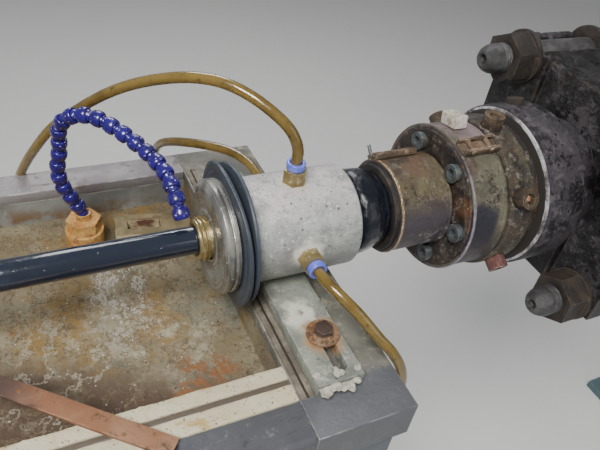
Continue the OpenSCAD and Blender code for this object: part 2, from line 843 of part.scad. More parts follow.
module retaining_screws() {
    color("darkgray") at_axis(ring_x + screw_sink) around(ring_screws, 30)
        translate([0, 0, ring_pcd / 2]) {
        rotate([0, -90, 0]) difference() {
            cylinder(d = ring_screw_d, h = screw_head_h, $fn = 48);
            translate([0, 0, screw_head_h / 2]) hexagon(ring_screw_d * 0.5, screw_head_h);
        }
        along_x() cylinder(d = screw_shank_d - 2 * sink, h = ring_len - screw_sink, $fn = 32);
    }
}

module body_heater() {
    color("tan") turned(big_band_x) ring_shape(ring_d / 2 + sink, big_band_r, big_band_w);
}

// Closures over the joints of the two bands: a base with two lips and two cross screws.
// The one on the lip heater ends short of the retaining screws' heads
closure_t = 2.5;

module closure(x, w, r, turn, half) {
    at_axis(x) rotate([turn, 0, 0]) translate([0, 0, r + 0.1]) {
        translate([0, -half, 0]) cube([w, 2 * half, closure_t]);
        for (y = [-half, half - closure_t]) translate([0, y, 0]) cube([w, closure_t, half]);
        for (along = [0.25, 0.75]) translate([along * w, -half - 1, half * 0.6])
            rotate([-90, 0, 0]) cylinder(d = half * 0.6, h = 2 * half + 2, $fn = 24);
    }
}

module heater_clamps() {
    color("tan") {
        closure(big_band_x, big_band_w, big_band_r, 18, 8);
        closure(lip_band_x, lip_band_w - screw_head_h, lip_band_r, -28, 5);
    }
}

// A probe in the lip heater and a ceramic terminal on the big band
module thermocouple() {
    color("silver") at_axis(lip_band_x + 6) rotate([-44, 0, 0]) translate([0, 0, lip_band_r]) {
        hexagon(7, 4);
        cylinder(d = 3.5, h = 14, $fn = 32);
    }
}

module ceramic_terminal() {
    color("white") at_axis(big_band_x + big_band_w / 2) rotate([-12, 0, 0])
        translate([0, 0, big_band_r]) difference() {
            translate([-7, -11, 0]) cube([14, 22, 12]);
            for (y = [-5.5, 5.5]) translate([0, y, 4]) cylinder(d = 7, h = 9, $fn = 32);
            translate([-8, -1, 8]) cube([16, 2, 5]);
        }
}

// The centring bolts stand on spot faces round the die body
die_bevel = 2;
groove_r = die_d / 2 - 6;
spot_r = die_d / 2 - die_bevel;
centring_x = die_x + centring_d / 2 + die_bevel;

module die_body() {
    color("gray") difference() {
        turned(die_x) polygon([[0, 0], [spot_r, 0], [die_d / 2, die_bevel],
            [die_d / 2, die_len - die_groove], [groove_r, die_len - die_groove],
            [groove_r, die_len], [0, die_len]]);
        at_axis(centring_x) around(centring_bolts_n) translate([0, 0, spot_r])
            cylinder(d = centring_d + 2, h = 2 * die_bevel, $fn = 48);
    }
}

module centring_bolts() {
    head_h = centring_d * 0.7;
    color("gray") at_axis(centring_x) around(centring_bolts_n)
        translate([0, 0, spot_r]) difference() {
            cylinder(d = centring_d, h = head_h, $fn = 48);
            translate([0, 0, head_h / 2]) hexagon(centring_d * 0.5, head_h);
        }
}

module gasket() {
    color("gainsboro") turned(gasket_x) ring_shape(barrel_bore / 2, gasket_d / 2, gasket_t);
}

module adapter() {
    color("dimgray") turned(adapter_x)
        polygon([[barrel_bore / 2, 0], [adapter_d / 2 - 2, 0], [adapter_d / 2, 2],
            [adapter_d / 2, adapter_ring], [adapter_neck_d / 2, adapter_ring],
            [adapter_neck_d / 2, adapter_len], [barrel_bore / 2, adapter_len]]);
}

// The clamp flanges have open slots, which the studs swing out of
module at_studs(x) {
    for (sy = [-1, 1]) for (sz = [-1, 1])
        at_axis(x) translate([0, sy * stud_y, sz * stud_z]) along_x() children();
}

module flange_plate(x, t) {
    stud_slot = stud_d + stud_clear;
    half = flange_height / 2;
    difference() {
        at_axis(x + t / 2) cube([t, flange_w, flange_height], center = true);
        at_axis(x - 1) along_x() cylinder(d = barrel_bore, h = t + 2, $fn = round_n);
        at_studs(x - 1) cylinder(d = stud_slot, h = t + 2, $fn = 48);
        for (sy = [-1, 1]) for (z = [stud_z, -stud_z - half])
            at_axis(x - 1) translate([0, sy * stud_y - stud_slot / 2, z])
                cube([t + 2, stud_slot, half]);
    }
}

module die_flange() {
    color("darkslategray") difference() {
        flange_plate(die_flange_x, die_flange_t);
        for (s = [-1, 1])
            at_axis(die_flange_x - 1)
                translate([0, s * groove_y - groove_w / 2, -flange_height])
                cube([groove_deep + 1, groove_w, 2 * flange_height]);
    }
}

module barrel_flange() {
    color("darkslategray") flange_plate(barrel_flange_x, barrel_flange_t);
}

clamp_len = die_flange_t + flange_gap + barrel_flange_t;
nut_stack = nut_h + nut_washer_t;
stud_len = clamp_len + 2 * nut_stack + stud_over + 8;

module studs() {
    color("gray") at_studs(die_flange_x - nut_stack - stud_over) {
        cylinder(d1 = stud_d * 0.6, d2 = stud_d, h = stud_nose, $fn = 48);
        translate([0, 0, stud_nose]) cylinder(d = stud_d, h = stud_len - stud_nose, $fn = 48);
    }
}

module nuts() {
    color("dimgray") {
        at_studs(die_flange_x - nut_stack) nut();
        at_studs(die_flange_x - nut_washer_t) nut_washer();
        at_studs(-barrel_reach) nut_washer();
        at_studs(nut_washer_t - barrel_reach) nut();
    }
}

module nut_washer() {
    difference() {
        cylinder(d = nut_washer_d, h = nut_washer_t, $fn = 48);
        translate([0, 0, -1]) cylinder(d = stud_d + sink, h = nut_washer_t + 2, $fn = 48);
    }
}

module nut() {
    difference() {
        hexagon(nut_af, nut_h);
        translate([0, 0, -1]) cylinder(d = stud_d + sink, h = nut_h + 2, $fn = 48);
    }
}

// The barrel and its pedestal
rear_flange_x = barrel_over - rear_flange_t;

module barrel() {
    color("slategray") turned(-barrel_reach)
        ring_shape(barrel_bore / 2, barrel_d / 2, barrel_reach + rear_flange_x);
}

module rear_flange() {
    color("slategray") difference() {
        turned(rear_flange_x) ring_shape(barrel_bore / 2, rear_flange_d / 2, rear_flange_t);
        at_axis(rear_flange_x - 1) around(8, 22.5) translate([0, 0, rear_pcd / 2])
            along_x() cylinder(d = rear_hole_d, h = rear_flange_t + 2, $fn = 32);
    }
}

first_band = 70;
band_pitch = (barrel_reach - first_band - saddle_w) / barrel_bands;

module barrel_heaters() {
    color("silver") for (i = [0 : barrel_bands - 1])
        turned(first_band - barrel_reach + i * band_pitch)
            ring_shape(barrel_d / 2 + sink, barrel_d / 2 + 2 * band_t, barrel_band_w);
}

// The saddle is cut off below the barrel's axis, where the strap takes over
saddle_floor = 30;
saddle_z = axis_h - barrel_d / 2 - saddle_floor;
strap_z = axis_h - saddle_floor / 3;

module pedestal_base() {
    color("slategray") difference() {
        block(-base_l / 2, base_l / 2, -base_w / 2, base_w / 2, 0, base_t);
        for (sx = [-1, 1]) for (sy = [-1, 1])
            translate([sx * (base_l / 2 - anchor_edge), sy * (base_w / 2 - anchor_edge), -1])
                cylinder(d = anchor_d, h = base_t + 2, $fn = 32);
    }
}

module pedestal_column() {
    half = column_w / 2;
    inner = half - column_wall;
    color("slategray") difference() {
        block(-half, half, -half, half, base_t, saddle_z);
        block(-inner, inner, -inner, inner, base_t - 1, saddle_z + 1);
    }
}

module saddle() {
    color("slategray") difference() {
        block(-saddle_w / 2, saddle_w / 2, -column_w / 2, column_w / 2, saddle_z, strap_z);
        at_axis(-saddle_w / 2 - 1) along_x()
            cylinder(r = barrel_d / 2 + sink, h = saddle_w + 2, $fn = round_n);
    }
}

module saddle_strap() {
    color("gray") intersection() {
        turned(-saddle_w / 4) ring_shape(barrel_d / 2 + sink, column_w / 2 - 5, saddle_w / 2);
        block(-saddle_w, saddle_w, -column_w, column_w, strap_z, axis_h + barrel_d);
    }
}

tank_floor();
tank_front_wall();
tank_back_wall();
tank_inlet_wall();
tank_outlet_wall();
front_rim();
back_rim();
inlet_rim();
outlet_rim();
front_seals();
end_seal();
tank_bearers();
tank_legs();
stand_rails();
levelling_feet();
jacket();
sizing_sleeve();
end_flange();
rubber_discs();
calibrator_foot();
foot_bolts();
fitting_bodies();
fitting_collars();
top_hose();
rear_hose();
front_hose();
water_header();
header_brackets();
pipe();
soft_pipe();
spray_block();
jointed_hose();
drain_box();
strap_bar();
die_bush();
mandrel();
lip_heater();
retaining_ring();
retaining_screws();
body_heater();
heater_clamps();
thermocouple();
ceramic_terminal();
die_body();
centring_bolts();
gasket();
adapter();
die_flange();
barrel_flange();
studs();
nuts();
barrel();
rear_flange();
barrel_heaters();
pedestal_base();
pedestal_column();
saddle();
saddle_strap();
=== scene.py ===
import math

import bmesh
import bpy
from bpy.props import FloatProperty, FloatVectorProperty, IntProperty, PointerProperty
from bpy.types import Operator, Panel, PropertyGroup
from mathutils import Matrix, Vector, noise


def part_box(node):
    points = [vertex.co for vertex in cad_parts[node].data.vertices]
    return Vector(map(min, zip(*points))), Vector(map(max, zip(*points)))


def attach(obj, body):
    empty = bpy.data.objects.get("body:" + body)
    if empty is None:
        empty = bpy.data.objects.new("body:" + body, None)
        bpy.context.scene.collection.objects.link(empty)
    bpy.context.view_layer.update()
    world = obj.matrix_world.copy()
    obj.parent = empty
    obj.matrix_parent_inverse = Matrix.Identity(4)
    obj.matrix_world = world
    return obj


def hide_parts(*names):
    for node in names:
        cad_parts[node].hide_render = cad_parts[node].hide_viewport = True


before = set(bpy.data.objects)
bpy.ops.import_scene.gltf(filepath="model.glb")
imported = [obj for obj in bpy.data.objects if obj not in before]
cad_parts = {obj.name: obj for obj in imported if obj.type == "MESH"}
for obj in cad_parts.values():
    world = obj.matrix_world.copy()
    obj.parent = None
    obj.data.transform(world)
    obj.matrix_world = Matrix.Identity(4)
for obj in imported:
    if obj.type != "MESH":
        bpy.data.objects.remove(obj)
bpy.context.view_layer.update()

bl_info = {
    "name": "Pipe Extruder Head",
    "version": (1, 0, 0),
    "blender": (4, 5, 0),
    "location": "3D View > Sidebar > Extruder",
    "description": "Dresses the die head, calibrating sleeve and sizing tank of a pipe extruder",
    "category": "Add Mesh",
}

MM = 0.001
AXIS_Z = 1.0
FLOOR_Z = 0.899
FOOT_Z = 0.954
MOUTH_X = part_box("jacket")[1].x
SLEEVE_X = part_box("sizing_sleeve")[0].x
LIP_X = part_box("lip_heater")[0].x
BAND_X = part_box("body_heater")[0].x

# Usual widths of a rounded edge
SHARP, FINE, EDGE, BROAD = 0.0008, 0.001, 0.0012, 0.002


# Sizes and colours that a user would change

def length(name, description, default):
    return FloatProperty(name=name, description=description, default=default, min=0.0,
                         unit='LENGTH', subtype='DISTANCE')


def colour(name, description, default):
    return FloatVectorProperty(name=name, description=description, default=default,
                               subtype='COLOR', size=3, min=0.0, max=1.0)


class ExtruderSizes(PropertyGroup):
    """Small sizes of the finished pieces."""
    hose_d: length("Hose diameter", "Outer diameter of the amber water hoses", 0.010)
    cast_edge: length("Cast edge rounding", "Rounding on the clamp flanges", 0.004)
    sleeve_pitch: length("Sleeve thread", "Pitch of the thread on the brass sleeve", 0.0036)
    disc_droop: length("Disc droop", "How far the rim of a rubber disc flops over", 0.005)
    soft_lumps: length("Soft plastic lumps", "Height of the waves in the soft pipe", 0.0014)
    seal_fray: length("Seal fray", "Unevenness of the sponge seals", 0.0009)
    turns: IntProperty(name="Turning steps", description="Steps round a turned piece",
                       default=128, min=24, max=256)


class ExtruderColours(PropertyGroup):
    """Base colours of the finishes."""
    floor_steel: colour("Tank floor", "Bare dirty sheet of the tank", (0.205, 0.165, 0.095))
    limescale: colour("Limescale", "Dried lime on wet pieces", (0.56, 0.53, 0.45))
    rust: colour("Rust", "Orange-brown rust", (0.23, 0.10, 0.038))
    dark_rust: colour("Dark rust", "Old dark rust", (0.065, 0.036, 0.022))
    frame_steel: colour("Tank frame", "Blue-grey steel of the rims", (0.078, 0.083, 0.100))
    zinc: colour("Galvanised sheet", "Dull zinc of the walls", (0.20, 0.215, 0.21))
    stand: colour("Stand", "Grey paint of the stand", (0.085, 0.10, 0.115))
    cream: colour("Cream seal", "Yellowed sponge rubber", (0.60, 0.53, 0.37))
    old_rubber: colour("Grey seal", "Dirty grey rubber", (0.13, 0.11, 0.085))
    jacket: colour("Jacket", "Turned aluminium of the cooling jacket", (0.47, 0.48, 0.46))
    brass: colour("Brass", "Dull brass", (0.46, 0.37, 0.18))
    turned_steel: colour("Turned steel", "Steel flange on the sleeve", (0.27, 0.265, 0.25))
    rubber: colour("Rubber", "Blue-grey rubber of the discs", (0.030, 0.039, 0.054))
    foot: colour("Foot", "Grey-green plate of the foot", (0.26, 0.275, 0.235))
    collar: colour("Collars", "Periwinkle blue release collars", (0.102, 0.133, 0.62))
    amber: colour("Amber hose", "Yellowed clear hose", (0.26, 0.175, 0.045))
    pipe: colour("Pipe", "Wet black plastic", (0.012, 0.017, 0.030))
    links: colour("Jointed hose", "Violet-blue plastic links", (0.017, 0.007, 0.16))
    bronze: colour("Bronze", "Orange bronze block", (0.50, 0.26, 0.070))
    die: colour("Die steel", "Brown-grey heat stained steel", (0.070, 0.058, 0.044))
    olive: colour("Burnt oil", "Olive film of burnt oil", (0.098, 0.096, 0.058))
    heater: colour("Heater skin", "Stained steel skin of the heater bands", (0.125, 0.115, 0.082))
    screw: colour("Screws", "Greasy zinc of the screws", (0.12, 0.145, 0.155))
    ceramic: colour("Ceramic", "White heater terminal", (0.60, 0.57, 0.51))
    gasket: colour("Gasket", "White fibre gasket", (0.44, 0.44, 0.46))
    grease: colour("Grease", "Black grease on the clamp flanges", (0.016, 0.015, 0.016))
    stud: colour("Studs", "Grey greasy studs and nuts", (0.060, 0.058, 0.060))
    barrel: colour("Barrel", "Dark barrel steel", (0.075, 0.075, 0.078))
    machine: colour("Machine paint", "Blue-green grey of the pedestal", (0.075, 0.13, 0.145))
    copper: colour("Copper", "Bright edges and bolt centres", (0.62, 0.30, 0.15))


# Shared surface effects, as node groups that put out masks

def add(tree, kind, inputs=(), **settings):
    """Add a shader node with its settings, and link or set its inputs by name or number."""
    node = tree.nodes.new('ShaderNode' + kind)
    for key, value in settings.items():
        setattr(node, key, value)
    for key, value in dict(inputs).items():
        if isinstance(value, bpy.types.NodeSocket):
            tree.links.new(value, node.inputs[key])
        else:
            node.inputs[key].default_value = value
    return node


class Effect:
    """A node group that reads its named inputs and puts out one mask."""

    def __init__(self, name, **inputs):
        self.tree = bpy.data.node_groups.new(name, 'ShaderNodeTree')
        for label, value in inputs.items():
            kind = 'NodeSocketVector' if isinstance(value, tuple) else 'NodeSocketFloat'
            socket = self.tree.interface.new_socket(name=label, in_out='INPUT', socket_type=kind)
            socket.default_value = value
        self.tree.interface.new_socket(name="Mask", in_out='OUTPUT', socket_type='NodeSocketFloat')
        self.given = self.tree.nodes.new('NodeGroupInput').outputs

    def node(self, kind, inputs=(), output=0, **settings):
        """Add a node and return one of its outputs."""
        return add(self.tree, kind, inputs, **settings).outputs[output]

    def math(self, operation, *values, **settings):
        return self.node('Math', enumerate(values), operation=operation, **settings)

    def vector(self, operation, *values):
        return self.node('VectorMath', enumerate(values), operation=operation)

    def number(self, operation, *vectors):
        return self.node('VectorMath', enumerate(vectors), 'Value', operation=operation)

    def place(self):
        return self.node('TexCoord', output='Object')

    def normal(self):
        return self.node('NewGeometry', output='Normal')

    def stretched(self):
        return self.vector('MULTIPLY', self.place(), self.given['Stretch'])

    def cloud(self, place, detail):
        return self.node('TexNoise', {'Vector': place, 'Scale': self.given['Scale'], 'Detail': detail})

    def seeded_cloud(self):
        return self.node('TexNoise', {
            'Vector': self.stretched(), 'W': self.given['Seed'], 'Scale': self.given['Scale'],
            'Roughness': self.given['Grain'], 'Detail': 6.0}, noise_dimensions='4D')

    def step(self, source, low, high):
        """A smooth step from none at low to full at high."""
        return self.node('MapRange', {'Value': source, 'From Min': low, 'From Max': high},
                         interpolation_type='SMOOTHSTEP')

    def done(self, mask):
        """Put the mask out and return the finished group."""
        self.tree.links.new(mask, self.tree.nodes.new('NodeGroupOutput').inputs[0])
        return self.tree


def make_blotches(name):
    """Soft patches: noise between two levels."""
    e = Effect(name, Scale=20.0, Stretch=(1, 1, 1), Low=0.45, High=0.6, Seed=0.0, Grain=0.6)
    return e.done(e.step(e.seeded_cloud(), e.given['Low'], e.given['High']))


def make_specks(name):
    """Small separate spots of uneven size."""
    e = Effect(name, Scale=300.0, Stretch=(1, 1, 1), Size=0.35, Seed=0.0)
    cells = add(e.tree, 'TexVoronoi', {'Vector': e.stretched(), 'Scale': e.given['Scale'],
                                       'W': e.given['Seed']}, voronoi_dimensions='4D').outputs
    size = e.math('MULTIPLY', e.node('SeparateColor', {0: cells['Color']}), e.given['Size'])
    return e.done(e.step(cells['Distance'], size, e.math('MULTIPLY', size, 0.6)))


def make_edge_wear(name):
    """Worn edges: where a rounded normal leaves the true one."""
    e = Effect(name, Radius=0.0015, Scale=90.0, Amount=1.0)
    rounded = e.node('Bevel', {'Radius': e.given['Radius']}, samples=6)
    bent = e.step(e.number('DOT_PRODUCT', rounded, e.normal()), 0.995, 0.90)
    broken = e.step(e.cloud(e.place(), 4.0), 0.38, 0.62)
    both = e.math('MULTIPLY', bent, broken)
    return e.done(e.math('MULTIPLY', both, e.given['Amount'], use_clamp=True))


def make_veins(name):
    """Thin wandering lines, where noise crosses its middle."""
    e = Effect(name, Scale=20.0, Stretch=(1, 1, 1), Width=0.02, Seed=0.0, Grain=0.6)
    far = e.math('ABSOLUTE', e.math('SUBTRACT', e.seeded_cloud(), 0.5))
    return e.done(e.step(far, e.given['Width'], e.math('MULTIPLY', e.given['Width'], 0.25)))


def make_turned(name):
    """Fine rings left by turning about the pipe's axis."""
    e = Effect(name, Scale=400.0, Low=0.4, High=0.6, Seed=0.0)
    offset = e.vector('SUBTRACT', e.place(), (0, 0, AXIS_Z))
    radius = e.number('LENGTH', e.vector('MULTIPLY', offset, (0, 1, 1)))
    along = e.node('SeparateXYZ', {0: offset})
    rings = e.node('CombineXYZ', {0: radius, 1: along, 2: e.given['Seed']})
    return e.done(e.step(e.cloud(rings, 2.0), e.given['Low'], e.given['High']))


def make_halo(name):
    """A patch round a point, with a ragged edge and a full core; it marks stains, and in a few finishes
    a painted highlight and painted shade.
    """
    e = Effect(name, Centre=(0, 0, 0), Radius=0.02, Ragged=0.012, Scale=60.0, Stretch=(1, 1, 1),
               Core=0.7)
    offset = e.vector('SUBTRACT', e.place(), e.given['Centre'])
    far = e.number('LENGTH', e.vector('MULTIPLY', offset, e.given['Stretch']))
    ragged = e.math('MULTIPLY_ADD', e.cloud(offset, 5.0), e.given['Ragged'], far)
    return e.done(e.step(ragged, e.given['Radius'],
                         e.math('MULTIPLY', e.given['Radius'], e.given['Core'])))


def make_slope(name):
    """From none at one place to full at another, along a direction."""
    e = Effect(name, Along=(0, 0, 1), Start=0.0, End=1.0, Ragged=0.0, Scale=60.0)
    along = e.number('DOT_PRODUCT', e.place(), e.given['Along'])
    wander = e.math('SUBTRACT', e.cloud(e.place(), 5.0), 0.5)
    ragged = e.math('MULTIPLY_ADD', wander, e.given['Ragged'], along)
    return e.done(e.step(ragged, e.given['Start'], e.given['End']))


def make_facing(name):
    """Surfaces that face a direction, such as the painted highlights on faces that point up and the
    painted shade on faces that point down.
    """
    e = Effect(name, Direction=(0, 0, 1), Low=0.2, High=0.9)
    alike = e.number('DOT_PRODUCT', e.normal(), e.given['Direction'])
    return e.done(e.step(alike, e.given['Low'], e.given['High']))


def mask_kind(name, make, *inputs):
    """A maker of masks: its values fill the effect's inputs in the order given here."""
    def mask(*values):
        return [(name, make, dict(zip(inputs, values)))]
    return mask


# Two masks added together are both needed for a coat to lie
blotch = mask_kind("Blotches", make_blotches, "Scale", "Low", "High", "Seed", "Grain", "Stretch")
specks = mask_kind("Specks", make_specks, "Scale", "Size", "Seed")
wear = mask_kind("Edge wear", make_edge_wear, "Radius", "Scale", "Amount")
veins = mask_kind("Veins", make_veins, "Scale", "Width", "Seed", "Grain", "Stretch")
turned = mask_kind("Turned", make_turned, "Scale", "Low", "High", "Seed")
halo = mask_kind("Halo", make_halo, "Centre", "Radius", "Ragged", "Scale", "Stretch", "Core")
slope = mask_kind("Slope", make_slope, "Along", "Start", "End", "Ragged", "Scale")
facing = mask_kind("Facing", make_facing, "Direction", "Low", "High")


class Coats:
    """A material laid down in coats: a base, then films, stains, wear, painted highlights and painted
    shade over it.
    """

    def __init__(self, name, base, rough, metal, shader):
        self.material = bpy.data.materials.new(name)
        self.material.use_nodes = True
        self.tree = self.material.node_tree
        self.sockets = self.tree.nodes['Principled BSDF'].inputs
        self.now = {'Base Color': (*base, 1.0), 'Roughness': rough, 'Metallic': metal}
        self.material.diffuse_color = (*base, 1.0)
        for socket, value in (self.now | shader).items():
            self.sockets[socket.replace("_", " ")].default_value = value
        self.height = 0.0

    def coat(self, masks, base=None, rough=None, metal=None, height=None):
        """Lay a coat where all of its masks are, and raise it by a height in metres."""
        mask = None
        for name, make, inputs in masks:
            group = bpy.data.node_groups.get(name) or make(name)
            part = add(self.tree, 'Group', inputs, node_tree=group)
            both = {0: mask, 1: part.outputs[0]}
            mask = part.outputs[0] if mask is None else add(
                self.tree, 'Math', both, operation='MULTIPLY', use_clamp=True).outputs[0]
        for socket, above in (('Base Color', base and (*base, 1.0)), ('Roughness', rough),
                              ('Metallic', metal)):
            if above is not None:
                kind, below, result = ('RGBA', 6, 2) if socket == 'Base Color' else ('FLOAT', 2, 0)
                mix = add(self.tree, 'Mix', data_type=kind, inputs={
                    0: mask, below: self.now[socket], below + 1: above})
                self.now[socket] = mix.outputs[result]
                self.tree.links.new(mix.outputs[result], self.sockets[socket])
        if height is not None:
            self.height = add(self.tree, 'Math', {0: mask, 1: height, 2: self.height},
                              operation='MULTIPLY_ADD').outputs[0]

    def done(self):
        """Join the heights to the shader and return the finished material."""
        if self.height != 0.0:
            bump_node = add(self.tree, 'Bump', {'Height': self.height, 'Strength': 1.0,
                                                'Distance': 1.0})
            self.tree.links.new(bump_node.outputs[0], self.sockets['Normal'])
        return self.material


# The finishes. A coat is (masks, colour, roughness, metal, height), and None leaves a value
# as it is. A colour is three values, the name of a user's colour, or (name, share, other):
# that colour, tinted by the share towards the other. Places and heights are in metres.

def look(base, rough, metal, *coats, **shader):
    """A finish: the bare surface, its coats in order, and further inputs of the shader."""
    return base, rough, metal, coats, shader


def bump(height, *values):
    """Uneven height alone, in metres."""
    return blotch(*values), None, None, None, height


def grit(height, scale, seed=0, grain=0.6):
    """Even small unevenness all over."""
    return bump(height, scale, 0.3, 0.7, seed, grain)


def hot_steel(base, films, *coats):
    """Machine steel burnt by heat: films of a share each, then pits, soot and pale ash."""
    burnt = [(blotch(13 + 11 * k, 0.62 - share, 0.74 - share, 3 + 5 * k, 0.74), film,
              0.42 + 0.08 * k, 0.25) for k, (share, film) in enumerate(films)]
    return look(base, 0.42, 0.45, *burnt,
        (specks(230, 0.30, 4), (0.022, 0.018, 0.018), 0.4, None, -0.0002),
        (blotch(34, 0.525, 0.59, 8, 0.88), (0.030, 0.024, 0.022), 0.55),
        (blotch(95, 0.545, 0.59, 18, 0.88), (0.23, 0.20, 0.165), 0.5),
        bump(0.0006, 110, 0.40, 0.62, 0, 0.85),
        *coats)


